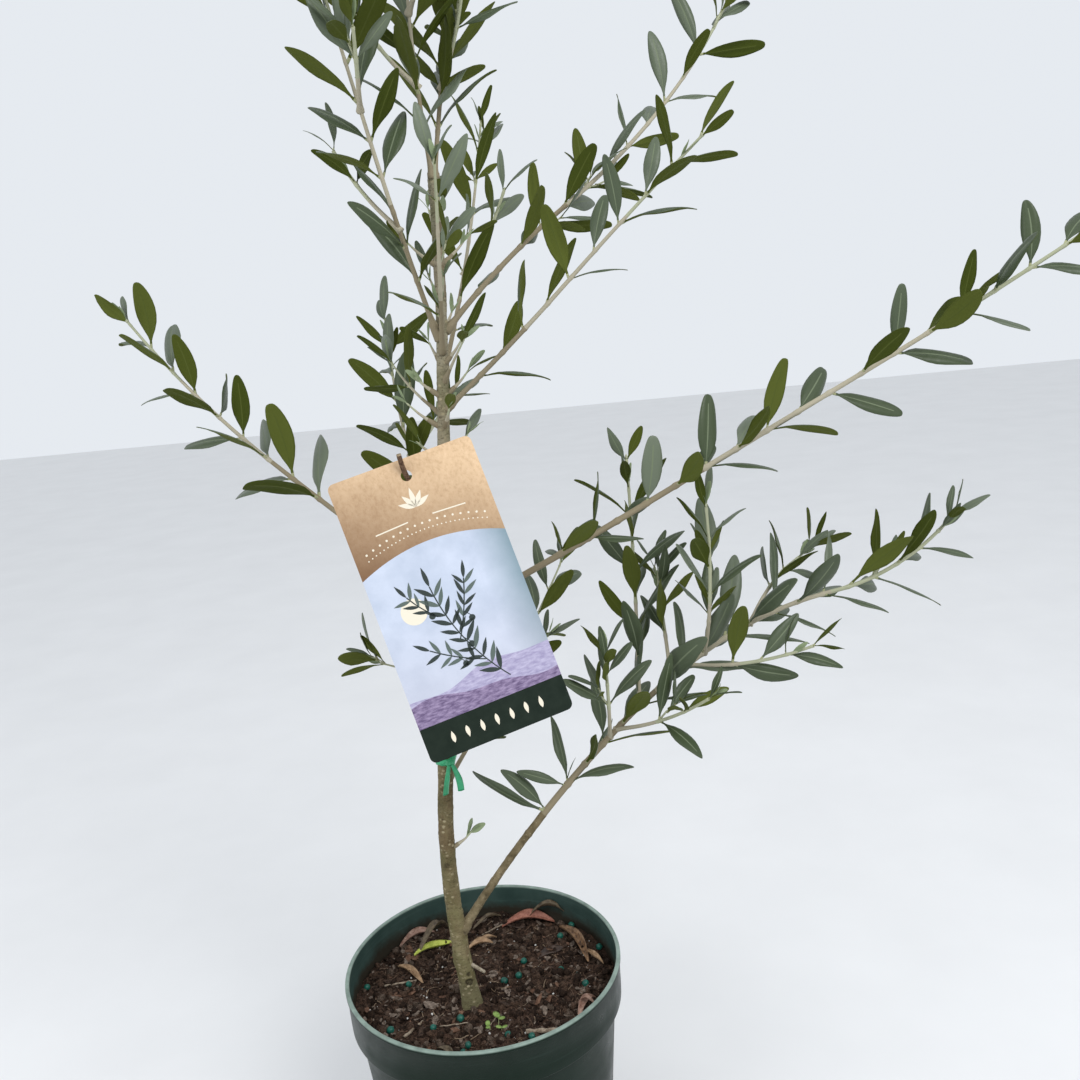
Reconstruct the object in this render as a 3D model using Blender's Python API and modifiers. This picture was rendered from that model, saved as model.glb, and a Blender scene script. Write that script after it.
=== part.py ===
"""A young olive tree in a round nursery pot, with its hang tag and a garden tie.

Metres, +Z up. The origin is the middle of the pot's flat underside. +X is to the right of someone
who faces the tag, and +Y is behind the plant. Each sub-part is one closed solid of its own. Parts
that touch keep GAP between them.

Limbs are courses: a start, a length, and headings that change evenly on the way. A heading is an
azimuth (0 is +X, 90 is +Y) and a rise above level, both in degrees. Each mass of foliage is a stem
with side twigs and leaves in opposite pairs, each pair at a right angle to the last.
"""

import math
import random
from dataclasses import dataclass

import bmesh
import bpy
from mathutils import Euler, Matrix, Vector
from mathutils.bvhtree import BVHTree

GAP = 0.0003
MERGE = 0.00001
FLAT_ANGLE = 0.2

# Pot and soil
POT_HEIGHT = 0.140
RIM_RADIUS = 0.076
BASE_RADIUS = 0.060
COLLAR_HEIGHT = 0.024
COLLAR_STEP = 0.0035
COLLAR_TAPER = 0.0012
LIP_HEIGHT = 0.0024
LIP_PROUD = 0.0007
FOOT_ROUND = 0.003
POT_WALL = 0.0016
POT_FLOOR = 0.0025
POT_FACETS = 36
DRAIN_COUNT = 8
DRAIN_RING = 0.046
DRAIN_RADIUS = 0.0045
SOIL_DROP = 0.018
SOIL_TOP = POT_HEIGHT - SOIL_DROP

# Trunk, from the soil to its fork. Its rises are over 90 where it leans to the left.
TRUNK_FOOT = Vector((-0.0075, -0.0125, SOIL_TOP + GAP))
TRUNK_HEIGHT = 0.430
TRUNK_RISES = (95, 91.5, 83.5, 84, 84, 84, 85.5, 89)
TRUNK_LOW_RADIUS = 0.0046
TRUNK_FORK_RADIUS = 0.0024
ROOT_FLARE = 0.0016
FLARE_FADE = 0.010
FLARE_STATIONS = (0.0, 0.0012, 0.0035, 0.007, 0.012, 0.018)
TRUNK_STEP = 0.012
TRUNK_RINGS = 0.014

# Limbs and twigs
LIMB_STEP = 0.014
TIP_TAPER = 0.42
TWIG_RADIUS = 0.0010
TWIG_TAPER = 0.65
PAST_LAST_PAIR = 0.0016
FORK_SPREAD = 0.0017
SQUARE_FOOT = 0.0015
STEM_BARE = 0.006
TWIG_BARE = 0.010
TWIG_LEAF = 0.9
TWIG_PLACES = (0.22, 0.72)
TWIG_LENGTHS = (0.030, 0.048)
TWIG_TURN = 2.4
TWIG_UPTURN = 20

# Leaves. Width, thickness and arch are shares of a leaf's length.
LEAF_LENGTH = 0.038
LEAF_WIDTH = 0.27
LEAF_THICKNESS = 1 / 60
LEAF_ARCH = 0.045
LEAF_SINK = 0.0002
LEAF_LIFT = 0.18
LEAF_ANGLES = (38, 62)
TIP_LEAF_ANGLES = (26, 38)
LEAF_ROLL = 0.85
LEAF_TURN = 0.30
LEAF_STRETCH = (0.82, 1.12)
TIP_LEAF_SIZES = (0.62, 0.84)
PAIR_SPACING = 0.0155
LEAF_TRIES = 6

# Room kept round a leaf, as shares of its width and thickness. Leaves of one mass may meet within
# the first JOINED_SHARE of their length, where they share a stem.
CLEAR_WIDTH = 1.15
CLEAR_THICKNESS = 3.0
JOINED_SHARE = 0.25

# Hang tag, the pruned twig that it hangs on, and the tie below it
TAG_WIDTH = 0.070
TAG_LENGTH = 0.136
TAG_THICKNESS = 0.0006
TAG_CORNER = 0.003
TAG_HOLE_RADIUS = 0.0026
TAG_HOLE_DROP = 0.008
TAG_HOLE_ASIDE = 0.001
TAG_ANGLES = (-16, -13.4, 10.8)
TAG_HANGS_AT = 0.0305
TAG_TWIG_STEP = 0.006
TIE_HEIGHT = 0.144
TIE_CORD_RADIUS = 0.0011
TIE_TAIL_LENGTH = 0.018
TIE_TAIL_WIDTH = 0.0034
TIE_TAIL_THICKNESS = 0.0010
TIE_TAIL_SPREAD = 13
TIE_TAIL_LEAN = -3
TIE_KNOT_AZIMUTH = -62


@dataclass
class Twig:
    """A side twig, by how far along its parent it starts."""

    at: float
    azimuths: tuple
    rises: tuple
    length: float


@dataclass
class Stub:
    """What is left of a lost twig, low on the trunk: its height, azimuth, length and radius."""

    height: float
    azimuth: float
    length: float
    radius: float


STUBS = (Stub(0.019, -15, 0.012, 0.0012), Stub(0.026, 150, 0.007, 0.0022))
STUB_RISES = (20, 35)
STUB_TAPER = (1.0, 1.0, 0.7)


@dataclass
class Shoot:
    """A limb off the trunk: bare for a stretch, which is its bough, and then a mass of foliage."""

    name: str
    height: float
    azimuths: tuple
    rises: tuple
    length: float
    radius: float = 0.0014
    bare: float = 0.0
    spacing: float = PAIR_SPACING
    leaf: float = LEAF_LENGTH
    twigs: tuple = ()
    seeded_twigs: int = 0


LOW_TWIGS = (
    Twig(0.128, (-90, -90), (54, 93), 0.052),
    Twig(0.133, (-33, -34), (13, 36), 0.060),
    Twig(0.150, (79, 79), (63, 94), 0.130),
    Twig(0.172, (93, 93), (71, 50), 0.061),
    Twig(0.183, (-31, -31), (2, 26), 0.070),
    Twig(0.194, (-85, -85), (51, 100), 0.086),
    Twig(0.222, (41, 41), (49, 9), 0.052),
)

LOW_RISES = (54, 48, 42, 29, 7, 41)

SHOOTS = (
    Shoot("low_right", 0.043, (5, 6), LOW_RISES, 0.333, 0.0024, 0.074, 0.014, twigs=LOW_TWIGS),
    Shoot("long_right", 0.220, (-7, -10), (25, 28, 28, 31), 0.339, 0.0021, 0.040, 0.0165),
    Shoot("left", 0.234, (159, 159), (36, 39, 52), 0.212, 0.0018, 0.052, 0.0165),
    Shoot("upper_left", 0.355, (-128, -128), (69, 74, 73), 0.180, seeded_twigs=2),
    Shoot("upper_right_front", 0.323, (-28, -26), (36, 40, 38), 0.166, 0.0015),
    Shoot("upper_right_back", 0.359, (22, 25), (44, 32, 45, 63), 0.250, 0.0016),
    Shoot("back_right", 0.130, (62, 50), (22, 45), 0.150, spacing=0.0175, seeded_twigs=1),
    Shoot("back_low", 0.170, (100, 84), (20, 48), 0.150, spacing=0.0175, seeded_twigs=1),
    Shoot("back_middle", 0.262, (112, 96), (28, 58), 0.150, spacing=0.0175, seeded_twigs=1),
    Shoot("back_high", 0.340, (74, 70), (42, 66), 0.150, spacing=0.0175, seeded_twigs=1),
    Shoot("front_high", 0.350, (-82, -80), (42, 62), 0.095),
    Shoot("side_left", 0.190, (186, 186), (14, 24), 0.026, 0.0010, leaf=0.034),
    Shoot("short_left", 0.321, (137, 137), (28, 50), 0.037, 0.0010),
    Shoot("short_right", 0.336, (-62, -62), (38, 35), 0.028, 0.0010),
    Shoot("sprout", 0.093, (-8, 0), (30, 50), 0.010, 0.0008, leaf=0.014),
)

LEADERS = (
    Shoot("left_leader", TRUNK_HEIGHT, (-110, -62), (80, 78, 74), 0.112, 0.0012, 0.0, 0.0135, 0.038, (), 2),
    Shoot("right_leader", TRUNK_HEIGHT, (46, 44), (76, 75, 74), 0.150, 0.0013, 0.0, 0.0135, 0.038, (), 3),
)

TAG_TWIG = Shoot("tag_twig", 0.276, (-122, -120), (24, 48, 80), 0.041, 0.0014)

SPUR_LEVELS = 8
SPUR_FIRST = 0.300
SPUR_RISE = 0.0150
SPUR_LENGTH = 0.011
SPUR_RADIUS = 0.0009
SPUR_LEAF = 0.034
SPUR_SPACING = 0.009
SPUR_RISES = (35, 50)
SPUR_STRETCH = (0.8, 1.4)
SPUR_TURN = 16
SPUR_FIRST_AZIMUTH = 200
SPUR_ROOM = 0.008
SPUR_ROOM_ANGLE = 40


def make_material(name, colour, roughness):
    material = bpy.data.materials.new(name)
    material.use_nodes = True
    shader = material.node_tree.nodes["Principled BSDF"]
    shader.inputs["Base Color"].default_value = (*colour, 1.0)
    shader.inputs["Roughness"].default_value = roughness
    shader.inputs["Metallic"].default_value = 0.0
    return material


def blend(values, share):
    """The value this share of the way through evenly spaced values."""
    place = share * (len(values) - 1)
    first = min(int(place), len(values) - 2)
    return values[first] + (values[first + 1] - values[first]) * (place - first)


def heading(azimuths, rises, share):
    azimuth = math.radians(blend(azimuths, share))
    rise = math.radians(blend(rises, share))
    level = math.cos(rise)
    return Vector((level * math.cos(azimuth), level * math.sin(azimuth), math.sin(rise)))


def course(start, azimuths, rises, length, step=LIMB_STEP):
    """Points from the start on, along headings that change evenly over the length."""
    count = max(2, round(length / step))
    points = [Vector(start)]
    for index in range(count):
        ahead = heading(azimuths, rises, (index + 0.5) / count)
        points.append(points[-1] + ahead * (length / count))
    return points


def along(points, distance):
    """(place, heading) at this distance along a course."""
    for first, second in zip(points, points[1:]):
        span = (second - first).length
        if distance <= span:
            break
        distance -= span
    ahead = (second - first).normalized()
    return first + ahead * min(distance, span), ahead


def split(points, distance):
    """The courses before and after this distance."""
    place = along(points, distance)[0]
    before = [points[0]]
    travelled = 0.0
    for first, second in zip(points, points[1:]):
        travelled += (second - first).length
        if travelled >= distance:
            break
        before.append(second)
    after = points[len(before) :]
    return before + [place], [place] + after


def trunk_radius(height):
    share = height / TRUNK_HEIGHT
    taper = TRUNK_LOW_RADIUS + (TRUNK_FORK_RADIUS - TRUNK_LOW_RADIUS) * share
    return taper + ROOT_FLARE * math.exp(-height / FLARE_FADE)


def trunk_course():
    return course(TRUNK_FOOT, (0, 0), TRUNK_RISES, TRUNK_HEIGHT, TRUNK_STEP)


def limb_radii(points, radius, whole_length, done=0.0, taper=TIP_TAPER):
    """Radii that taper along a limb, for a stretch of it that starts after the length done."""
    radii = []
    for index, point in enumerate(points):
        if index:
            done += (point - points[index - 1]).length
        radii.append(radius * (1 - (1 - taper) * min(done / whole_length, 1)))
    return radii


def tube_curve(name, points, radii, resolution=None, profile=None):
    """A capped tube: round with this bevel resolution, or with the section of a profile curve."""
    data = bpy.data.curves.new(name, "CURVE")
    data.dimensions = "3D"
    data.use_fill_caps = True
    if profile:
        data.bevel_mode = "OBJECT"
        data.bevel_object = profile
    else:
        data.bevel_depth = 1.0
        data.bevel_resolution = resolution
    spline = data.splines.new("POLY")
    spline.points.add(len(points) - 1)
    for point, place, radius in zip(spline.points, points, radii):
        point.co = (*place, 1.0)
        point.radius = radius
    return bpy.data.objects.new(name, data)


def flat_spline(data, points):
    spline = data.splines.new("POLY")
    spline.points.add(len(points) - 1)
    for point, (x, y) in zip(spline.points, points):
        point.co = (x, y, 0.0, 1.0)
    spline.use_cyclic_u = True


def ring(radius, count, centre=(0.0, 0.0), start=0.0, sweep=2 * math.pi):
    """Points on an arc. A whole ring leaves out its last point, which is its first."""
    whole = sweep == 2 * math.pi
    steps = count if whole else count - 1
    angles = [start + sweep * index / steps for index in range(count)]
    return [(centre[0] + radius * math.cos(a), centre[1] + radius * math.sin(a)) for a in angles]


def make_profile(name, points):
    data = bpy.data.curves.new(name, "CURVE")
    data.dimensions = "2D"
    flat_spline(data, points)
    profile = bpy.data.objects.new(name, data)
    profile.hide_render = True
    profile.display_type = "WIRE"
    return profile


def mesh_of(obj):
    """The evaluated shape as a mesh in world space."""
    bpy.context.view_layer.update()
    evaluated = obj.evaluated_get(bpy.context.evaluated_depsgraph_get())
    mesh = bpy.data.meshes.new_from_object(evaluated)
    mesh.transform(obj.matrix_world)
    return mesh


def weld(mesh):
    """Joins a curve's caps to its sides."""
    shape = bmesh.new()
    shape.from_mesh(mesh)
    bmesh.ops.remove_doubles(shape, verts=shape.verts, dist=MERGE)
    bmesh.ops.recalc_face_normals(shape, faces=shape.faces)
    shape.to_mesh(mesh)
    shape.free()


def solid_from(curve):
    """Replaces a curve by the mesh of its tube, under the same name and in no collection yet."""
    name = curve.name
    bpy.context.scene.collection.objects.link(curve)
    mesh = mesh_of(curve)
    weld(mesh)
    bpy.data.objects.remove(curve)
    return bpy.data.objects.new(name, mesh)


def keep_largest_body(mesh):
    """Drops every loose scrap beside the largest body of a mesh."""
    shape = bmesh.new()
    shape.from_mesh(mesh)
    shape.verts.ensure_lookup_table()
    left = set(shape.verts)
    bodies = []
    while left:
        seed = next(vert for vert in shape.verts if vert in left)
        body = {seed}
        edge_of_body = [seed]
        while edge_of_body:
            vert = edge_of_body.pop()
            for edge in vert.link_edges:
                other = edge.other_vert(vert)
                if other not in body:
                    body.add(other)
                    edge_of_body.append(other)
        bodies.append(body)
        left -= body
    largest = max(bodies, key=len)
    scraps = [vert for vert in shape.verts if vert not in largest]
    bmesh.ops.delete(shape, geom=scraps, context="VERTS")
    shape.to_mesh(mesh)
    shape.free()


def merge_flat_faces(mesh):
    """Merges the coplanar triangles that a union leaves where surfaces meet."""
    shape = bmesh.new()
    shape.from_mesh(mesh)
    bmesh.ops.dissolve_limit(
        shape, angle_limit=math.radians(FLAT_ANGLE), verts=shape.verts, edges=shape.edges
    )
    shape.to_mesh(mesh)
    shape.free()


def fuse(name, pieces):
    """One closed body from pieces that overlap, by one union on their collection."""
    body = pieces[0]
    group = bpy.data.collections.new(name + "_pieces")
    bpy.context.scene.collection.children.link(group)
    bpy.context.scene.collection.objects.link(body)
    for piece in pieces[1:]:
        group.objects.link(piece)
    union = body.modifiers.new("union", "BOOLEAN")
    union.operation = "UNION"
    union.operand_type = "COLLECTION"
    union.collection = group
    union.solver = "EXACT"
    mesh = mesh_of(body)
    for piece in pieces:
        bpy.data.objects.remove(piece)
    bpy.data.collections.remove(group)
    keep_largest_body(mesh)
    merge_flat_faces(mesh)
    mesh.materials.clear()
    mesh.name = name
    return bpy.data.objects.new(name, mesh)


def finish(obj, collection, material):
    obj.data.materials.clear()
    obj.data.materials.append(material)
    collection.objects.link(obj)


def turned(name, profile, collection, material):
    """A profile of (radius, height) points, swept once round the Z axis."""
    mesh = bpy.data.meshes.new(name)
    edges = [(index, index + 1) for index in range(len(profile) - 1)]
    mesh.from_pydata([(radius, 0.0, height) for radius, height in profile], edges, [])
    obj = bpy.data.objects.new(name, mesh)
    screw = obj.modifiers.new("turn", "SCREW")
    screw.axis = "Z"
    screw.steps = POT_FACETS
    screw.render_steps = POT_FACETS
    screw.use_merge_vertices = True
    screw.merge_threshold = MERGE
    screw.use_smooth_shade = False
    finish(obj, collection, material)
    return obj


def body_radius(height):
    """Outer radius of the pot's tapering body below its collar."""
    share = height / (POT_HEIGHT - COLLAR_HEIGHT)
    return BASE_RADIUS + (RIM_RADIUS - COLLAR_TAPER - COLLAR_STEP - BASE_RADIUS) * share


def make_pot(collection, cutters, material):
    collar_foot = POT_HEIGHT - COLLAR_HEIGHT
    step_foot = collar_foot - COLLAR_STEP / 2
    inner = [
        (0.0, POT_FLOOR),
        (body_radius(POT_FLOOR) - POT_WALL, POT_FLOOR),
        (body_radius(step_foot) - POT_WALL, step_foot),
        (RIM_RADIUS - COLLAR_TAPER - POT_WALL, collar_foot + POT_WALL),
        (RIM_RADIUS - LIP_PROUD - POT_WALL, POT_HEIGHT),
    ]
    outer = [
        (RIM_RADIUS - LIP_PROUD / 2, POT_HEIGHT),
        (RIM_RADIUS, POT_HEIGHT - LIP_PROUD),
        (RIM_RADIUS, POT_HEIGHT - LIP_HEIGHT),
        (RIM_RADIUS - LIP_PROUD, POT_HEIGHT - LIP_HEIGHT - LIP_PROUD),
        (RIM_RADIUS - COLLAR_TAPER, collar_foot),
        (body_radius(step_foot), step_foot),
        (body_radius(FOOT_ROUND), FOOT_ROUND),
        (BASE_RADIUS - FOOT_ROUND / 3, FOOT_ROUND / 3),
        (BASE_RADIUS - FOOT_ROUND, 0.0),
        (0.0, 0.0),
    ]
    pot = turned("pot", inner + outer, collection, material)
    for index in range(DRAIN_COUNT):
        angle = 2 * math.pi * (index + 0.5) / DRAIN_COUNT
        shape = bmesh.new()
        bmesh.ops.create_cone(
            shape,
            cap_ends=True,
            segments=10,
            radius1=DRAIN_RADIUS,
            radius2=DRAIN_RADIUS,
            depth=4 * POT_FLOOR,
            matrix=Matrix.Translation((DRAIN_RING * math.cos(angle), DRAIN_RING * math.sin(angle), 0.0)),
        )
        mesh = bpy.data.meshes.new("drain_cutter")
        shape.to_mesh(mesh)
        shape.free()
        cutter = bpy.data.objects.new(f"drain_cutter_{index + 1}", mesh)
        cutter.hide_render = True
        cutter.display_type = "WIRE"
        cutters.objects.link(cutter)
    holes = pot.modifiers.new("drain_holes", "BOOLEAN")
    holes.operation = "DIFFERENCE"
    holes.operand_type = "COLLECTION"
    holes.collection = cutters
    holes.solver = "EXACT"


def make_soil(collection, material):
    collar_foot = POT_HEIGHT - COLLAR_HEIGHT
    step_foot = collar_foot - COLLAR_STEP / 2
    wall = POT_WALL + GAP
    profile = [
        (0.0, SOIL_TOP),
        (RIM_RADIUS - COLLAR_TAPER - wall, SOIL_TOP),
        (RIM_RADIUS - COLLAR_TAPER - wall, collar_foot + POT_WALL),
        (body_radius(step_foot) - wall, step_foot),
        (body_radius(POT_FLOOR) - wall, POT_FLOOR + GAP),
        (0.0, POT_FLOOR + GAP),
    ]
    turned("soil", profile, collection, material)


def make_trunk(trunk, collection, material):
    """The trunk, with a level cut at its foot, fused with the stubs of two lost twigs."""
    above_flare = TRUNK_HEIGHT - FLARE_STATIONS[-1]
    count = round(above_flare / TRUNK_RINGS)
    heights = list(FLARE_STATIONS)
    heights += [FLARE_STATIONS[-1] + above_flare * (index + 1) / count for index in range(count)]
    points = [along(trunk, height)[0] for height in heights]
    points[1] = points[0] + Vector((0, 0, heights[1]))
    pieces = [tube_curve("trunk", points, [trunk_radius(height) for height in heights], resolution=3)]
    for stub in STUBS:
        place = along(trunk, stub.height)[0]
        reach = course(place, (stub.azimuth, stub.azimuth), STUB_RISES, stub.length, stub.length / 2)
        pieces.append(tube_curve("stub", reach, [stub.radius * share for share in STUB_TAPER], resolution=1))
    solids = [solid_from(piece) for piece in pieces]
    whole = fuse("trunk", solids)
    finish(whole, collection, material)
    return whole


def limb_points(shoot, trunk, step=LIMB_STEP):
    """A shoot's course, from GAP off the trunk. It starts square to the trunk's side."""
    centre = along(trunk, shoot.height)[0]
    out = heading(shoot.azimuths, (0, 0), 0)
    reach = trunk_radius(shoot.height) + GAP
    climb = reach * math.tan(math.radians(shoot.rises[0]))
    foot = centre + out * reach + Vector((0, 0, climb))
    return [foot] + course(foot + out * SQUARE_FOOT, shoot.azimuths, shoot.rises, shoot.length, step)


def leader_points(shoot, trunk):
    """A leader's course, from GAP above the trunk's cut fork."""
    out = heading(shoot.azimuths, (0, 0), 0)
    up = (trunk[-1] - trunk[-2]).normalized()
    foot = trunk[-1] + up * GAP + out * FORK_SPREAD
    return [foot] + course(foot + up * SQUARE_FOOT, shoot.azimuths, shoot.rises, shoot.length)


def square_to(ahead, turn):
    """A direction square to this heading, turned about it by these radians from the level one."""
    level = ahead.cross(Vector((0, 0, 1)))
    if level.length < 0.05:
        level = Vector((1, 0, 0))
    level = level.normalized()
    return Matrix.Rotation(turn, 3, ahead) @ level


def seeded_side_twigs(shoot, points):
    """Short side twigs at seeded places along a shoot."""
    dice = random.Random(shoot.name + " twigs")
    twigs = []
    for index in range(shoot.seeded_twigs):
        share = (index + dice.random() * 0.5) / shoot.seeded_twigs
        at = shoot.length * blend(TWIG_PLACES, share)
        ahead = along(points, at)[1]
        side = square_to(ahead, TWIG_TURN * index + dice.uniform(-0.5, 0.5))
        out = (ahead + side).normalized()
        azimuth = math.degrees(math.atan2(out.y, out.x))
        rise = math.degrees(math.asin(out.z))
        length = dice.uniform(*TWIG_LENGTHS)
        twigs.append(Twig(at, (azimuth, azimuth), (rise, min(rise + TWIG_UPTURN, 88)), length))
    return twigs


def leaf_stations(length, spacing, bare):
    """Distances of the pairs along a stem, from past its bare stretch to just short of its tip."""
    leafy = length - bare - PAST_LAST_PAIR
    count = max(1, round(leafy / spacing))
    return [bare + leafy * (index + 1) / count for index in range(count)]


def leaf_matrix(place, ahead, side, angle, roll, length):
    """A leaf's place: its root in the stem, +Z to its tip and +Y out of its upper face."""
    reach = (ahead * math.cos(angle) + side * math.sin(angle)).normalized()
    reach = (reach + Vector((0, 0, LEAF_LIFT))).normalized()
    across = ahead.cross(side).normalized()
    across = Matrix.Rotation(roll, 3, reach) @ across
    across = (across - reach * across.dot(reach)).normalized()
    upper = reach.cross(across)
    turn = Matrix((across, upper, reach)).transposed().to_4x4()
    return Matrix.Translation(place - side * LEAF_SINK) @ turn @ Matrix.Scale(length, 4)


def leaf_draws(name, points, spacing, bare, leaf):
    """For each leaf of a stem, LEAF_TRIES seeded places to try in turn."""
    length = sum((second - first).length for first, second in zip(points, points[1:]))
    dice = random.Random(name)
    phase = dice.uniform(0, math.pi)
    for level, station in enumerate(leaf_stations(length, spacing, bare)):
        place, ahead = along(points, station)
        from_tip = round((length - station) / spacing)
        size = leaf * (TIP_LEAF_SIZES[from_tip] if from_tip < len(TIP_LEAF_SIZES) else 1.0)
        for hand in (0, 1):
            tries = []
            for _ in range(LEAF_TRIES):
                turn = phase + level * math.pi / 2 + hand * math.pi + dice.uniform(-LEAF_TURN, LEAF_TURN)
                angle = math.radians(dice.uniform(*(LEAF_ANGLES if from_tip else TIP_LEAF_ANGLES)))
                roll = dice.uniform(-LEAF_ROLL, LEAF_ROLL)
                stretch = dice.uniform(*LEAF_STRETCH)
                side = square_to(ahead, turn)
                tries.append(leaf_matrix(place, ahead, side, angle, roll, size * stretch))
            yield tries


def make_blade():
    """A leaf of eight faces and unit length, from its root at the origin to its tip at +Z."""
    shape = bmesh.new()
    bmesh.ops.create_uvsphere(shape, u_segments=4, v_segments=2, radius=1.0)
    for vert in shape.verts:
        middle = 1 - abs(vert.co.z)
        vert.co.x *= LEAF_WIDTH / 2
        vert.co.y = vert.co.y * LEAF_THICKNESS / 2 + LEAF_ARCH * middle
        vert.co.z = (vert.co.z + 1) / 2
    blade = bpy.data.meshes.new("blade")
    shape.to_mesh(blade)
    shape.free()
    return blade


class Space:
    """What already stands where, as surface trees, so that nothing new crosses it."""

    def __init__(self, blade):
        self.limbs = []
        self.twigs = []
        self.leaves = []
        self.blade = [vert.co.copy() for vert in blade.vertices]
        self.faces = [tuple(face.vertices) for face in blade.polygons]

    def leaf_tree(self, matrix, widened=False, outer=False):
        points = []
        for point in self.blade:
            spread = Vector((point.x, point.y - LEAF_ARCH * (1 - abs(2 * point.z - 1)), point.z))
            if widened:
                spread.x *= CLEAR_WIDTH
                spread.y *= CLEAR_THICKNESS
            spread.y += LEAF_ARCH * (1 - abs(2 * point.z - 1))
            if outer and spread.z == 0:
                spread.z = JOINED_SHARE
                spread.y += LEAF_ARCH * JOINED_SHARE * 2
            points.append(matrix @ spread)
        return BVHTree.FromPolygons(points, self.faces)

    def add_limb(self, mesh):
        self.limbs.append(tree_of(mesh))

    def add_twig(self, mass, mesh):
        self.twigs.append((mass, tree_of(mesh)))

    def add_leaf(self, mass, matrix):
        middle = matrix @ Vector((0, LEAF_ARCH, 0.5))
        trees = (self.leaf_tree(matrix), self.leaf_tree(matrix, outer=True))
        self.leaves.append((mass, middle, matrix.median_scale, *trees))

    def takes_leaf(self, mass, matrix):
        whole = self.leaf_tree(matrix, widened=True)
        outer = self.leaf_tree(matrix, widened=True, outer=True)
        if any(whole.overlap(limb) for limb in self.limbs):
            return False
        for owner, twig in self.twigs:
            if (outer if owner == mass else whole).overlap(twig):
                return False
        middle = matrix @ Vector((0, LEAF_ARCH, 0.5))
        for owner, other_middle, length, tree, outer_tree in self.leaves:
            if (other_middle - middle).length > (length + matrix.median_scale) * 0.6:
                continue
            if owner == mass and outer.overlap(outer_tree):
                return False
            if owner != mass and whole.overlap(tree):
                return False
        return True

    def takes_twig(self, mass, mesh):
        tree = tree_of(mesh)
        crosses_limb = any(tree.overlap(limb) for limb in self.limbs)
        return not crosses_limb and not any(tree.overlap(twig) for owner, twig in self.twigs if owner != mass)


def tree_of(mesh):
    return BVHTree.FromPolygons(
        [vert.co.copy() for vert in mesh.vertices], [tuple(face.vertices) for face in mesh.polygons]
    )


class Mass:
    """One mass of foliage while it grows: its stems as solids, and then its leaves."""

    def __init__(self, shoot, points, start_length, profile, space):
        self.name = shoot.name + "_foliage"
        self.shoot = shoot
        self.space = space
        self.pieces = []
        self.stems = []
        whole = start_length + sum((b - a).length for a, b in zip(points, points[1:]))
        radii = limb_radii(points, shoot.radius, whole, start_length)
        self.add_stem(self.name, points, radii, profile, shoot.leaf)
        for index, twig in enumerate(list(shoot.twigs) + seeded_side_twigs(shoot, points)):
            place = along(points, twig.at - start_length)[0]
            reach = course(place, twig.azimuths, twig.rises, twig.length)
            radii = limb_radii(reach, TWIG_RADIUS, twig.length, taper=TWIG_TAPER)
            self.add_stem(f"{self.name}_twig_{index + 1}", reach, radii, profile, shoot.leaf * TWIG_LEAF)

    def add_stem(self, name, points, radii, profile, leaf):
        solid = solid_from(tube_curve(name, points, radii, profile=profile))
        if self.pieces and not self.space.takes_twig(self.name, solid.data):
            bpy.data.objects.remove(solid)
            return
        self.space.add_twig(self.name, solid.data)
        self.pieces.append(solid)
        self.stems.append((name, points, leaf))

    def grow_leaves(self, blade):
        for index, (name, points, leaf) in enumerate(self.stems):
            bare = TWIG_BARE if index else STEM_BARE
            for tries in leaf_draws(name, points, self.shoot.spacing, bare, leaf):
                for matrix in tries:
                    if self.space.takes_leaf(self.name, matrix):
                        self.add_leaf(blade, matrix)
                        break

    def add_leaf(self, blade, matrix):
        leaf = bpy.data.objects.new(f"{self.name}_leaf", blade)
        leaf.matrix_world = matrix
        self.space.add_leaf(self.name, matrix)
        self.pieces.append(leaf)


def starts_clear(height, azimuth):
    """Whether no shoot starts near this place on the trunk."""
    for shoot in SHOOTS:
        apart = abs((azimuth - shoot.azimuths[0] + 180) % 360 - 180)
        if abs(height - shoot.height) < SPUR_ROOM and apart < SPUR_ROOM_ANGLE:
            return False
    return True


def spur_shoots():
    """Short spurs in opposite pairs up the leafy part of the trunk."""
    dice = random.Random("spurs")
    spurs = []
    for index in range(2 * SPUR_LEVELS):
        level = index // 2
        height = SPUR_FIRST + SPUR_RISE * level
        azimuth = SPUR_FIRST_AZIMUTH + 90 * level + 180 * (index % 2)
        while not starts_clear(height, azimuth):
            azimuth += SPUR_TURN
        azimuth += dice.uniform(-SPUR_TURN, SPUR_TURN) / 2
        length = SPUR_LENGTH * dice.uniform(*SPUR_STRETCH)
        name = f"trunk_spur_{index + 1:02d}"
        headings = (azimuth, azimuth), SPUR_RISES
        spurs.append(Shoot(name, height, *headings, length, SPUR_RADIUS, 0.0, SPUR_SPACING, SPUR_LEAF))
    return tuple(spurs)


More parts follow.
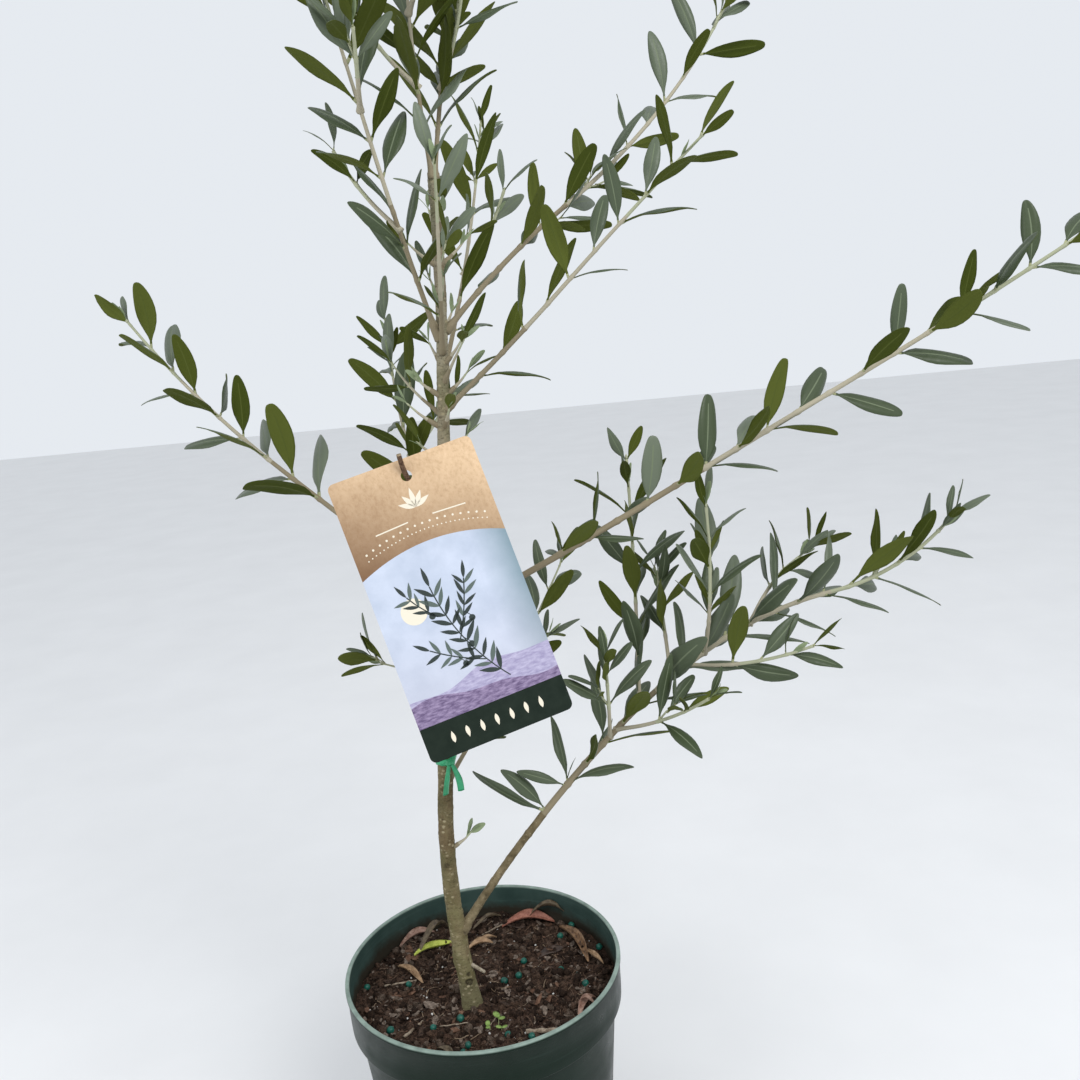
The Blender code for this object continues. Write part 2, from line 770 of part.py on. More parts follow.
def make_tag(twig_points, collection, material):
    """A card with round corners, whose hole near its top edge hangs on the pruned twig."""
    left = -TAG_WIDTH / 2 - TAG_HOLE_ASIDE
    right = left + TAG_WIDTH
    top = TAG_HOLE_DROP
    bottom = top - TAG_LENGTH
    outline = []
    corners = ((right, top, 0), (left, top, 1), (left, bottom, 2), (right, bottom, 3))
    for x, y, quarter in corners:
        inward_x = -TAG_CORNER if x == right else TAG_CORNER
        inward_y = -TAG_CORNER if y == top else TAG_CORNER
        centre = (x + inward_x, y + inward_y)
        outline += ring(TAG_CORNER, 4, centre, quarter * math.pi / 2, math.pi / 2)
    data = bpy.data.curves.new("hang_tag", "CURVE")
    data.dimensions = "2D"
    data.fill_mode = "BOTH"
    data.extrude = TAG_THICKNESS / 2
    flat_spline(data, outline)
    flat_spline(data, ring(TAG_HOLE_RADIUS, 12))
    tag = bpy.data.objects.new("hang_tag", data)
    tilt = Euler([math.radians(angle) for angle in TAG_ANGLES]).to_matrix()
    hole = along(twig_points, TAG_HANGS_AT)[0]
    upright = Matrix.Rotation(math.pi / 2, 4, "X")
    tag.matrix_world = Matrix.Translation(hole) @ tilt.to_4x4() @ upright
    finish(tag, collection, material)
    return tag


def make_tag_twig(points, collection, material):
    """A pruned twig of the trunk that carries the tag: it passes through the hole and turns up."""
    radii = limb_radii(points, TAG_TWIG.radius, TAG_TWIG.length, taper=0.8)
    twig = tube_curve("tag_twig", points, radii, resolution=2)
    finish(twig, collection, material)
    return twig


def make_tie(trunk, collection, material):
    """A soft tie round the trunk, with its two cut ends hanging from the knot."""
    centre, ahead = along(trunk, TIE_HEIGHT)
    around = trunk_radius(TIE_HEIGHT) + GAP + TIE_CORD_RADIUS
    bpy.ops.mesh.primitive_torus_add(
        major_radius=around, minor_radius=TIE_CORD_RADIUS, major_segments=18, minor_segments=6
    )
    band = bpy.context.active_object
    band.name = "garden_tie"
    tilt = Vector((0, 0, 1)).rotation_difference(ahead)
    band.matrix_world = Matrix.Translation(centre) @ tilt.to_matrix().to_4x4()
    knot_azimuth = math.radians(TIE_KNOT_AZIMUTH)
    out = Vector((math.cos(knot_azimuth), math.sin(knot_azimuth), 0))
    knot = centre + out * (around + TIE_CORD_RADIUS * 0.6)
    pieces = [band]
    for side in (-1, 1):
        shape = bmesh.new()
        bmesh.ops.create_cube(shape, size=1.0)
        size = (TIE_TAIL_WIDTH, TIE_TAIL_THICKNESS, TIE_TAIL_LENGTH)
        drop = Matrix.Translation((0, 0, 0.0006 - TIE_TAIL_LENGTH / 2))
        tilts = math.radians(TIE_TAIL_LEAN), math.radians(-side * TIE_TAIL_SPREAD)
        lean = Euler((*tilts, knot_azimuth + math.pi / 2))
        place = Matrix.Translation(knot + out * 0.0004 * side) @ lean.to_matrix().to_4x4() @ drop
        shape.transform(place @ Matrix.Diagonal((*size, 1.0)))
        mesh = bpy.data.meshes.new("tie_tail")
        shape.to_mesh(mesh)
        shape.free()
        pieces.append(bpy.data.objects.new("tie_tail", mesh))
    for collected in list(band.users_collection):
        collected.objects.unlink(band)
    tie = fuse("garden_tie", pieces)
    finish(tie, collection, material)
    return tie


def clear_scene():
    for obj in list(bpy.data.objects):
        bpy.data.objects.remove(obj)


def main():
    clear_scene()
    tree = bpy.data.collections.new("potted_olive_tree")
    cutters = bpy.data.collections.new("cutters")
    guides = bpy.data.collections.new("guides")
    for collection in (tree, cutters, guides):
        bpy.context.scene.collection.children.link(collection)

    bark = make_material("bark", (0.20, 0.17, 0.10), 0.8)
    young_bark = make_material("young_bark", (0.42, 0.38, 0.26), 0.7)
    foliage = make_material("foliage", (0.09, 0.15, 0.07), 0.5)
    plastic = make_material("pot_plastic", (0.03, 0.10, 0.08), 0.45)
    peat = make_material("potting_soil", (0.03, 0.02, 0.014), 0.95)
    card = make_material("card", (0.45, 0.33, 0.20), 0.7)
    tie_plastic = make_material("tie_plastic", (0.03, 0.45, 0.22), 0.5)

    make_pot(tree, cutters, plastic)
    make_soil(tree, peat)
    trunk = trunk_course()
    trunk_solid = make_trunk(trunk, tree, bark)
    tag_twig_points = limb_points(TAG_TWIG, trunk, TAG_TWIG_STEP)
    tag_twig = make_tag_twig(tag_twig_points, tree, bark)
    tag = make_tag(tag_twig_points, tree, card)
    tie = make_tie(trunk, tree, tie_plastic)

    triangle = make_profile("twig_section", ring(1.0, 3))
    guides.objects.link(triangle)
    blade = make_blade()
    space = Space(blade)
    for solid in (trunk_solid, tag_twig, tag, tie):
        space.add_limb(mesh_of(solid))

    masses = []
    for shoot in SHOOTS + LEADERS + spur_shoots():
        points = (leader_points if shoot in LEADERS else limb_points)(shoot, trunk)
        if shoot.bare:
            bough_points, points = split(points, shoot.bare)
            radii = limb_radii(bough_points, shoot.radius, shoot.length)
            bough = tube_curve(shoot.name + "_bough", bough_points, radii, resolution=2)
            finish(bough, tree, young_bark)
            space.add_limb(mesh_of(bough))
            step_off = (points[1] - points[0]).normalized() * GAP
            points[0] = points[0] + step_off
        masses.append(Mass(shoot, points, shoot.bare, triangle, space))
    for mass in masses:
        mass.grow_leaves(blade)
    for mass in masses:
        finish(fuse(mass.name, mass.pieces), tree, foliage)


main()
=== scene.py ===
"""The looks of a young olive tree in a round nursery pot, with its hang tag and a garden tie.

Metres, +Z up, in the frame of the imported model. The limbs follow the same rule as the model's
source: courses whose headings change evenly, and leaves in opposite pairs, each pair at a right
angle to the last. Here the leaves get their outline, ribs and stalks, the stems their nodes and
buds, and short side shoots grow between them, all within the reach of the model's masses.
"""

import math
import random
from dataclasses import dataclass
from itertools import accumulate

import bmesh
import bpy
import numpy as np
from mathutils import Euler, Matrix, Vector, noise
from mathutils.bvhtree import BVHTree


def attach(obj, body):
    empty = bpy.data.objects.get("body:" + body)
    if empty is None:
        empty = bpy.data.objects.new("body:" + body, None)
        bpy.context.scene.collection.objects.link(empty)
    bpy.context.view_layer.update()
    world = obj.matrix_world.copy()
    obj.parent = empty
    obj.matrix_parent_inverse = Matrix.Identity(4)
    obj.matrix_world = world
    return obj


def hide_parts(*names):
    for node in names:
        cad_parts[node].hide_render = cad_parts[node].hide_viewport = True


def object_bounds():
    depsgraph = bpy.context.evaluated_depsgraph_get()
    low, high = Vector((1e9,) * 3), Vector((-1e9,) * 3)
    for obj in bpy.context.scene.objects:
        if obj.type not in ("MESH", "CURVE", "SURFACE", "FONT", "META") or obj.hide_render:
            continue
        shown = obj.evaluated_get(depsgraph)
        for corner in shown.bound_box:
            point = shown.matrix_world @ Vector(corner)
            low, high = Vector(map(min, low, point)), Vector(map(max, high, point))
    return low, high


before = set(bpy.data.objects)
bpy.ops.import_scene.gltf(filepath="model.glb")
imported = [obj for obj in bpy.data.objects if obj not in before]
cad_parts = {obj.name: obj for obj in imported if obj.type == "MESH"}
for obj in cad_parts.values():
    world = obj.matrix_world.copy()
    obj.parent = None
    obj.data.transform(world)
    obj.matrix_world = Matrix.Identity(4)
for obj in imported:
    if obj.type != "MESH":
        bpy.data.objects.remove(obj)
cad_box = [list(corner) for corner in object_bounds()]
BOX_LOW, BOX_HIGH = (np.array(corner) for corner in cad_box)

# Sizes that the model's source also uses
GAP = 0.0003
POT_HEIGHT = 0.140
RIM_RADIUS = 0.076
BASE_RADIUS = 0.060
COLLAR_HEIGHT = 0.024
COLLAR_STEP = 0.0035
COLLAR_TAPER = 0.0012
COLLAR_FOOT = POT_HEIGHT - COLLAR_HEIGHT
STEP_FOOT = COLLAR_FOOT - COLLAR_STEP / 2
POT_WALL = 0.0016
POT_FLOOR = 0.0025
LIP_HEIGHT = 0.0024
LIP_PROUD = 0.0007
DRAIN_COUNT = 8
DRAIN_RING = 0.046
DRAIN_RADIUS = 0.0045
SOIL_TOP = POT_HEIGHT - 0.018

TRUNK_FOOT = Vector((-0.0075, -0.0125, SOIL_TOP + GAP))
TRUNK_HEIGHT = 0.430
TRUNK_RISES = (95, 91.5, 83.5, 84, 84, 84, 85.5, 89)
TRUNK_LOW_RADIUS = 0.0046
TRUNK_FORK_RADIUS = 0.0024
ROOT_FLARE = 0.0016
FLARE_FADE = 0.010
TRUNK_STEP = 0.012

LIMB_STEP = 0.014
TIP_TAPER = 0.42
TWIG_RADIUS = 0.0010
TWIG_TAPER = 0.65
PAST_LAST_PAIR = 0.0016
FORK_SPREAD = 0.0017
SQUARE_FOOT = 0.0015
STEM_BARE = 0.006
TWIG_BARE = 0.010
TWIG_LEAF = 0.9
TWIG_PLACES = (0.22, 0.72)
TWIG_LENGTHS = (0.030, 0.048)
TWIG_TURN = 2.4
TWIG_UPTURN = 20

LEAF_LENGTH = 0.038
LEAF_WIDTH = 0.27
LEAF_THICKNESS = 1 / 60
LEAF_ARCH = 0.045
LEAF_SINK = 0.0002
LEAF_LIFT = 0.18
LEAF_ANGLES = (38, 62)
TIP_LEAF_ANGLES = (26, 38)
LEAF_ROLL = 0.85
LEAF_TURN = 0.30
LEAF_STRETCH = (0.82, 1.12)
TIP_LEAF_SIZES = (0.62, 0.84)
PAIR_SPACING = 0.0155
LEAF_TRIES = 6
CLEAR_WIDTH = 1.15
CLEAR_THICKNESS = 3.0
JOINED_SHARE = 0.25

TAG_WIDTH = 0.070
TAG_LENGTH = 0.136
TAG_THICKNESS = 0.0006
TAG_CORNER = 0.003
TAG_HOLE_RADIUS = 0.0026
TAG_HOLE_DROP = 0.008
TAG_HOLE_ASIDE = 0.001
TAG_ANGLES = (-16, -13.4, 10.8)
TAG_HANGS_AT = 0.0305
TAG_TWIG_STEP = 0.006
TIE_HEIGHT = 0.144
TIE_CORD_RADIUS = 0.0011
TIE_TAIL_LENGTH = 0.018
TIE_TAIL_WIDTH = 0.0034
TIE_TAIL_SPREAD = 13
TIE_KNOT_AZIMUTH = -62


@dataclass
class Twig:
    """A side twig, by how far along its parent it starts."""

    at: float
    azimuths: tuple
    rises: tuple
    length: float


@dataclass
class Shoot:
    """A limb off the trunk: bare for a stretch, which is its bough, and then a mass of foliage."""

    name: str
    height: float
    azimuths: tuple
    rises: tuple
    length: float
    radius: float = 0.0014
    bare: float = 0.0
    spacing: float = PAIR_SPACING
    leaf: float = LEAF_LENGTH
    twigs: tuple = ()
    seeded_twigs: int = 0


LOW_TWIGS = (
    Twig(0.128, (-90, -90), (54, 93), 0.052),
    Twig(0.133, (-33, -34), (13, 36), 0.060),
    Twig(0.150, (79, 79), (63, 94), 0.130),
    Twig(0.172, (93, 93), (71, 50), 0.061),
    Twig(0.183, (-31, -31), (2, 26), 0.070),
    Twig(0.194, (-85, -85), (51, 100), 0.086),
    Twig(0.222, (41, 41), (49, 9), 0.052),
)
LOW_RISES = (54, 48, 42, 29, 7, 41)

SHOOTS = (
    Shoot("low_right", 0.043, (5, 6), LOW_RISES, 0.333, 0.0024, 0.074, 0.014, twigs=LOW_TWIGS),
    Shoot("long_right", 0.220, (-7, -10), (25, 28, 28, 31), 0.339, 0.0021, 0.040, 0.0165),
    Shoot("left", 0.234, (159, 159), (36, 39, 52), 0.212, 0.0018, 0.052, 0.0165),
    Shoot("upper_left", 0.355, (-128, -128), (69, 74, 73), 0.180, seeded_twigs=2),
    Shoot("upper_right_front", 0.323, (-28, -26), (36, 40, 38), 0.166, 0.0015),
    Shoot("upper_right_back", 0.359, (22, 25), (44, 32, 45, 63), 0.250, 0.0016),
    Shoot("back_right", 0.130, (62, 50), (22, 45), 0.150, spacing=0.0175, seeded_twigs=1),
    Shoot("back_low", 0.170, (100, 84), (20, 48), 0.150, spacing=0.0175, seeded_twigs=1),
    Shoot("back_middle", 0.262, (112, 96), (28, 58), 0.150, spacing=0.0175, seeded_twigs=1),
    Shoot("back_high", 0.340, (74, 70), (42, 66), 0.150, spacing=0.0175, seeded_twigs=1),
    Shoot("front_high", 0.350, (-82, -80), (42, 62), 0.095),
    Shoot("side_left", 0.190, (186, 186), (14, 24), 0.026, 0.0010, leaf=0.034),
    Shoot("short_left", 0.321, (137, 137), (28, 50), 0.037, 0.0010),
    Shoot("short_right", 0.336, (-62, -62), (38, 35), 0.028, 0.0010),
    Shoot("sprout", 0.093, (-8, 0), (30, 50), 0.010, 0.0008, leaf=0.014),
)

LEADERS = (
    Shoot("left_leader", TRUNK_HEIGHT, (-110, -62), (80, 78, 74), 0.112, 0.0012, 0.0, 0.0135, seeded_twigs=2),
    Shoot("right_leader", TRUNK_HEIGHT, (46, 44), (76, 75, 74), 0.150, 0.0013, 0.0, 0.0135, seeded_twigs=3),
)

TAG_TWIG = Shoot("tag_twig", 0.276, (-122, -120), (24, 48, 80), 0.041, 0.0014)

SPUR_LEVELS = 8
SPUR_FIRST = 0.300
SPUR_RISE = 0.0150
SPUR_LENGTH = 0.011
SPUR_RADIUS = 0.0009
SPUR_LEAF = 0.034
SPUR_SPACING = 0.009
SPUR_RISES = (35, 50)
SPUR_STRETCH = (0.8, 1.4)
SPUR_TURN = 16
SPUR_FIRST_AZIMUTH = 200
SPUR_ROOM = 0.008
SPUR_ROOM_ANGLE = 40

# ---------------------------------------------------------------- the finer shapes, made here alone


@dataclass
class Habit:
    """How a shoot's leaves differ from the others'. The shares are of its leaves, or of their axils."""

    side_shoots: float = 0.13
    fallen: float = 0.0
    breadth: float = 1.0
    growth: float = 1.0
    point: float = 1.0
    # Of the leaves that rise steeply, those whose lower face and those whose upper face look to the front
    lower_shown: float = 0.0
    upper_shown: float = 0.0
    keeps_tip: bool = True


HABITS = {
    "low_right": Habit(0.12, 0.0, 0.98, 1.10, 1.35, 0.06, 0.50),
    "long_right": Habit(0.06, 0.04, 1.14, 0.86, 1.0, 0.28, 0.42),
    "left": Habit(0.06, 0.0, 1.30, 1.0, 1.0, 1.0, 0.0),
    "upper_right_front": Habit(0.04, 0.18, 1.04, 0.82, 1.0, 0.35, 0.2),
    "upper_right_back": Habit(0.05, 0.24, 1.0, 0.86, 1.0, 0.35, 0.2),
    "upper_left": Habit(fallen=0.26, point=1.2),
    "front_high": Habit(fallen=0.56, point=1.2),
    "back_high": Habit(fallen=0.46),
    "left_leader": Habit(point=1.2),
    "right_leader": Habit(point=1.2),
    "sprout": Habit(0.0, breadth=1.5, growth=1.4, keeps_tip=False),
    "trunk_spur": Habit(0.0, 0.40, keeps_tip=False),
}
FOLIAGE_LAYERS = {"low": (0.0, 0.20), "middle": (0.20, 0.33), "high": (0.33, 0.60)}

FACED_RISE = 0.72
FALLEN_FORWARD = 0.80
LIT_SHARE = 0.8
TIP_KEEPS = 0.030
DRY_SHARE = 0.006
OTHER_TINT_SHARE = 0.25
# Leaves by the foot of the lowest limb: (distance along, azimuth, rise, roll, length)
FOOT_LEAVES = (
    (0.0015, 184, 44, 0.9, 0.034),
    (0.0015, 168, 22, -0.3, 0.044),
    (0.0190, 186, 16, 0.7, 0.028),
    (0.0190, 60, 34, 0.2, 0.016),
)
SIDE_SHOOT_LENGTHS = (0.005, 0.015)
SIDE_SHOOT_TAPER = (1.0, 0.85, 0.7)
SIDE_LEAF_LENGTHS = (0.017, 0.030)
SIDE_LEAF_PLACES = (0.55, 1.0)
SIDE_LEAF_TRIES = 3
SIDE_TIP_LEAF_SIZE = 0.8
BUD_LEAF_LENGTHS = (0.008, 0.014)
BUD_LEAF_ANGLES = (12, 24)

BLADE_COLUMNS = (-1.0, -0.72, -0.40, -0.07, 0.07, 0.40, 0.72, 1.0)
LEAF_SHARES = (0.0, 0.045, 0.085, 0.125, 0.19, 0.28, 0.39, 0.50, 0.61, 0.71, 0.80, 0.87, 0.93, 0.97, 0.991)
SMALL_LEAF_SHARES = (0.0, 0.085, 0.14, 0.26, 0.42, 0.60, 0.77, 0.89, 0.96, 0.990)
STALK_SHARE = 0.085
STALK_WIDTH = 0.033
STALK_THICKENING = 2.4
BLADE_FULLNESS = (0.62, 0.86)
BLADE_WIDTH = 0.255
BLADE_THICKNESS = 0.0105
EDGE_THINNING = 0.22
RIB_ENDS = 0.86
RIB_RISE = 0.35

NODE_SWELL = 1.22
NODE_REACH = 0.0011
STEM_STEP = 0.0011
STEM_SIDES = 9
SIDE_SHOOT_SIDES = 6
# (share of the length that is woody, share where its pale stretch ends, thickness against the source's)
STEM_AGES = (0.34, 0.74, 0.88)
TWIG_AGES = (0.0, 0.42, 1.10)
STEM_SINK = 0.0012
COLLAR_SWELL = 0.7
COLLAR_REACH = 0.0026
BOUGH_COLLAR = 0.5
BOUGH_SLENDER = 0.93
BUD_LENGTH = 0.0028
BUD_SHAPE = ((0.0, 0.9), (0.3, 1.25), (0.6, 0.95), (0.85, 0.45), (1.0, 0.08))

TRUNK_BURIED = 0.004
TRUNK_TOP = (0.96, 0.87, 0.68, 0.30)
FLARE_SLIMMING = 0.0005
LOBE_RISE = 0.0005
LOBE_FADE = 0.008
BARK_STEP = 0.0008
BARK_SIDES = 40
BOUGH_SIDES = 20
STUB_SIDES = 14
STUB_STEP = 0.0007
STUB_TAPER = (1.25, 0.80)
CUT_ROUNDING = 0.75
TAG_TWIG_SIDES = 18
TAG_TWIG_BARK_STEP = 0.0006
PORE_COUNT = 420
PORE_SIZES = (0.00045, 0.0009)
# Bumps up to the small size are looked up by their shelf of height
SMALL_BUMP = 0.001
BUMP_SHELF = 0.004
SCAR_SPACINGS = (0.013, 0.018)
# (rise, radius, spread round the bough)
SCAR_BUMP = (0.00042, 0.0011, 0.8)
# The swelling under a shoot of this radius: (rise, radius, spread round the trunk)
SWOLLEN_SHOOT = 0.0018
SWELLING = (0.00045, 0.0045, 0.6)
# Dark rings in the bark: (azimuth, height up the trunk, inner radius, outer radius, depth of colour)
SCARS = (
    (-70, 0.0160, 0.0016, 0.0024, 0.85),
    (-72, 0.0158, 0.0000, 0.0012, 0.75),
    (-64, 0.0205, 0.0000, 0.0014, 0.85),
    (-20, 0.0470, 0.0000, 0.0011, 0.60),
    (-95, 0.0860, 0.0010, 0.0017, 0.55),
)
# (azimuth, height up the trunk, rise, radius, spread round the trunk)
KNOTS = (
    (-68, 0.0165, 0.0012, 0.0042, 0.70),
    (-70, 0.0160, -0.0019, 0.0016, 0.32),
    (-64, 0.0205, -0.0009, 0.0010, 0.20),
    (150, 0.0260, 0.0012, 0.0040, 0.60),
    (-100, 0.0860, 0.0005, 0.0028, 0.50),
)
# (height up the trunk, azimuth, rises, length, radius, slot)
STUBS = ((0.0255, -18, (-14, -34), 0.0135, 0.0010, 1), (0.0260, 150, (20, 34), 0.0068, 0.0019, 0))
CUT_END = 0.0016

POT_SEGMENTS = 160
POT_WOBBLE = 0.00045
# A drill through the pot's floor: (height, width against the hole's)
DRILL = ((-0.004, 1.15), (0.0002, 1.0), (0.0032, 1.0), (0.008, 1.15))
SOIL_RINGS = 120
SOIL_SEGMENTS = 280
TRUNK_ROOM = 0.0085
# How strongly surfaces mirror, as the shader's specular level
POT_GLOSS = 0.10
DULL = 0.12
SATIN = 0.35
GLOSSY = 0.50

# (count, how far from the pot's middle they may lie)
CRUMBS = (1700, 0.0708)
FLAKES = (900, 0.069)
FIBRES = (420, 0.066)
GRIT = (110, 0.069)
# (smallest size, span of the sizes, how rare the large ones are)
CRUMB_RADII = (0.0005, 0.0017, 2.4)
FLAKE_LENGTHS = (0.0009, 0.0036, 2.6)
FIBRE_LENGTHS = (0.0020, 0.0085, 1.8)
GRIT_RADII = (0.00022, 0.00062, 2.2)
# Of three materials, in slots, how often each is drawn
BIT_SLOTS = (0, 0, 0, 1, 1, 2)
# Places on the soil, in millimetres from the pot's middle
FEED_PLACES = (
    (-50, -30), (-27, -32), (-13, -26), (10, 3), (12.5, -40), (-68, 10), (43, 40), (50, 51), (65, 27),
    (51, 2), (55, -6), (-10.5, -50), (-8, -47), (25, -45), (18, 10), (21, 21), (42, 10), (-20, 56), (-44, 8),
)
# (start, end, rise in metres, width in metres, cup, twist, slot)
LITTER = (
    ((8, 57), (40, 61), 0.0032, 0.0078, 0.8, 0.9, 0),
    ((24, 64), (50, 58), 0.0105, 0.0050, 0.8, -0.5, 1),
    ((-53, 46), (-33, 58), 0.0028, 0.0055, 0.9, 0.9, 4),
    ((-41, 36), (-24, 60), 0.0110, 0.0056, 0.8, -0.7, 1),
    ((-53, 27), (-36, 9), 0.0008, 0.0048, 1.1, 0.6, 2),
    ((-43, 33), (-21, 44), 0.0006, 0.0056, 0.8, 0.5, 3),
    ((43, 49), (58, 14), 0.0010, 0.0070, 1.3, 0.4, 5),
    ((58, 25), (66, 9), 0.0022, 0.0036, 1.0, -0.6, 2),
    ((-12, 36), (3, 40), 0.0022, 0.0050, 0.9, 0.8, 2),
    ((-10, 41), (6, 46), 0.0032, 0.0032, 0.8, -0.6, 2),
    ((-10, 58), (9, 68), 0.0046, 0.0036, 0.8, -0.6, 1),
    ((50, -33), (60, -16), 0.0034, 0.0050, 1.0, 0.9, 4),
    ((50, -22), (60, -27), 0.0044, 0.0034, 0.8, -0.9, 4),
    ((-24, -46), (-14, -58), 0.0015, 0.0040, 0.9, 0.4, 1),
    ((30, 24), (44, 30), 0.0006, 0.0070, 0.2, 0.3, 6),
    ((6, 62), (22, 56), 0.0006, 0.0090, 0.2, 0.2, 6),
)
# (start, end, radius in metres)
STICKS = (
    ((-58, 10), (-40, 12), 0.00055),
    ((-42, -36), (-34, -21), 0.00085),
    ((22, -41), (40, -42), 0.00130),
    ((-24, -30), (-6, -31), 0.00035),
    ((2, -35), (7, -24), 0.00030),
    ((-4, 50), (14, 63), 0.00040),
)
# (x, y, height in metres, leaf size in metres, turn)
SEEDLINGS = ((7, -31, 0.0060, 0.0024, 1.1), (3, -35, 0.0035, 0.0019, 3.6), (9, -36, 0.0032, 0.0018, 5.0))
CURL_ROWS = 18
CURL_COLUMNS = (-1.0, -0.6, -0.2, 0.2, 0.6, 1.0)
CURL_HALF_THICKNESS = 0.00016

TAG_MIDDLE = -TAG_HOLE_ASIDE
TAG_LEFT = TAG_MIDDLE - TAG_WIDTH / 2
TAG_RIGHT = TAG_MIDDLE + TAG_WIDTH / 2
TAG_FOOT = TAG_HOLE_DROP - TAG_LENGTH
TAG_ARCH_FOOT = -0.039
TAG_ARCH_RISE = 0.0075
TAG_BAND_TOP = -0.1115
DOTTED_WIDTH = TAG_WIDTH - 0.012
PRINT_LAYER = 0.00003
# The print's materials, in slots
CREAM_INK, SKY_INK, BAND_INK, FAR_HILL_INK, NEAR_HILL_INK, SPRIG_INK, LIGHT_SPRIG_INK = 5, 1, 2, 3, 4, 6, 7
# (level, rise, phase, slot, layer)
HILLS = ((-0.0965, 0.0034, 0.6, FAR_HILL_INK, 2), (-0.1035, 0.0030, 3.1, NEAR_HILL_INK, 3))
SUN_RADIUS = 0.0062
FAN_ANGLES = (90, 56, 124, 24, 156)
# Rows of dots over the arch: (height over it, spacing, radius)
DOTTED_ARCHES = ((0.0055, 0.0021, 0.00034), (0.0085, 0.0036, 0.00055))
SPRIG_LINE = 0.00055
SPRIG_LEAF_WIDTH = 0.22
LIGHT_LEAF_SHARE = 0.35
# (foot x, foot y, (azimuth at the foot, azimuth at the tip), length, leaf length)
SPRIG_STEMS = (
    (0.012, -0.103, (128, 94), 0.056, 0.0098),
    (0.004, -0.092, (158, 142), 0.026, 0.0084),
    (-0.0035, -0.079, (60, 74), 0.028, 0.0084),
    (-0.0095, -0.066, (136, 118), 0.017, 0.0078),
)
SPRIG_STEP = 0.0026
TIE_STEPS = 48
TIE_WIDTH = 0.0031
TAIL_STEPS = 14
KNOT_BEADS = ((-0.0026, 0.0007), (-0.0016, 0.0016), (0.0, 0.0019), (0.0016, 0.0016), (0.0026, 0.0007))
RIBBON_SECTION = (
    (-1, -0.35), (-0.5, -0.9), (0, -0.7), (0.5, -0.9), (1, -0.35),
    (1, 0.35), (0.5, 0.9), (0, 1.15), (-0.5, 0.9), (-1, 0.35),
)

FLOOR_SIZE = 4.0
FLOOR_DROP = 0.0002
SKY_COLOUR = (0.86, 0.90, 0.95)
SKY_STRENGTH = 0.92
LIGHT_AIM = Vector((0.05, 0.0, 0.35))
# (name, place, power, size)
SOFT_LIGHTS = (
    ("soft_key", (0.75, -0.95, 1.55), 15.0, 0.9),
    ("soft_fill", (-0.90, -0.80, 0.90), 4.0, 0.9),
)
CAMERA_PLACE = Vector((0.0529, -0.5289, 0.4965))
CAMERA_RIGHT = (0.996, -0.0212, -0.091)
CAMERA_DOWN = (-0.0934, -0.2261, -0.970)
CAMERA_LENS = 36.0


# ---------------------------------------------------------------- the rule of growth


def blend(values, share):
    """The value this share of the way through evenly spaced values."""
    place = share * (len(values) - 1)
    first = min(int(place), len(values) - 2)
    return values[first] + (values[first + 1] - values[first]) * (place - first)


def heading(azimuths, rises, share):
    azimuth = math.radians(blend(azimuths, share))
    rise = math.radians(blend(rises, share))
    level = math.cos(rise)
    return Vector((level * math.cos(azimuth), level * math.sin(azimuth), math.sin(rise)))


def course(start, azimuths, rises, length, step=LIMB_STEP):
    """Points from the start on, along headings that change evenly over the length."""
    count = max(2, round(length / step))
    points = [Vector(start)]
    for index in range(count):
        ahead = heading(azimuths, rises, (index + 0.5) / count)
        points.append(points[-1] + ahead * (length / count))
    return points


def along(points, distance):
    """(place, heading) at this distance along a course."""
    for first, second in zip(points, points[1:]):
        span = (second - first).length
        if distance <= span:
            break
        distance -= span
    ahead = (second - first).normalized()
    return first + ahead * min(distance, span), ahead


def length_of(points):
    return sum((second - first).length for first, second in zip(points, points[1:]))


def split(points, distance):
    """The courses before and after this distance."""
    place = along(points, distance)[0]
    before = [points[0]]
    travelled = 0.0
    for first, second in zip(points, points[1:]):
        travelled += (second - first).length
        if travelled >= distance:
            break
        before.append(second)
    after = points[len(before) :]
    return before + [place], [place] + after


def trunk_radius(height):
    share = height / TRUNK_HEIGHT
    taper = TRUNK_LOW_RADIUS + (TRUNK_FORK_RADIUS - TRUNK_LOW_RADIUS) * share
    return taper + ROOT_FLARE * math.exp(-height / FLARE_FADE)


def trunk_course():
    return course(TRUNK_FOOT, (0, 0), TRUNK_RISES, TRUNK_HEIGHT, TRUNK_STEP)


def tapered(radius, whole_length, done, taper=TIP_TAPER):
    return radius * (1 - (1 - taper) * min(done / whole_length, 1))


def limb_points(shoot, trunk, step=LIMB_STEP):
    """A shoot's course, from GAP off the trunk. It starts square to the trunk's side."""
    centre = along(trunk, shoot.height)[0]
    out = heading(shoot.azimuths, (0, 0), 0)
    reach = trunk_radius(shoot.height) + GAP
    climb = reach * math.tan(math.radians(shoot.rises[0]))
    foot = centre + out * reach + Vector((0, 0, climb))
    return [foot] + course(foot + out * SQUARE_FOOT, shoot.azimuths, shoot.rises, shoot.length, step)


def leader_points(shoot, trunk):
    """A leader's course, from GAP above the trunk's cut fork."""
    out = heading(shoot.azimuths, (0, 0), 0)
    up = (trunk[-1] - trunk[-2]).normalized()
    foot = trunk[-1] + up * GAP + out * FORK_SPREAD
    return [foot] + course(foot + up * SQUARE_FOOT, shoot.azimuths, shoot.rises, shoot.length)


def square_to(ahead, turn):
    """A direction square to this heading, turned about it by these radians from the level one."""
    level = ahead.cross(Vector((0, 0, 1)))
    if level.length < 0.05:
        level = Vector((1, 0, 0))
    level = level.normalized()
    return Matrix.Rotation(turn, 3, ahead) @ level


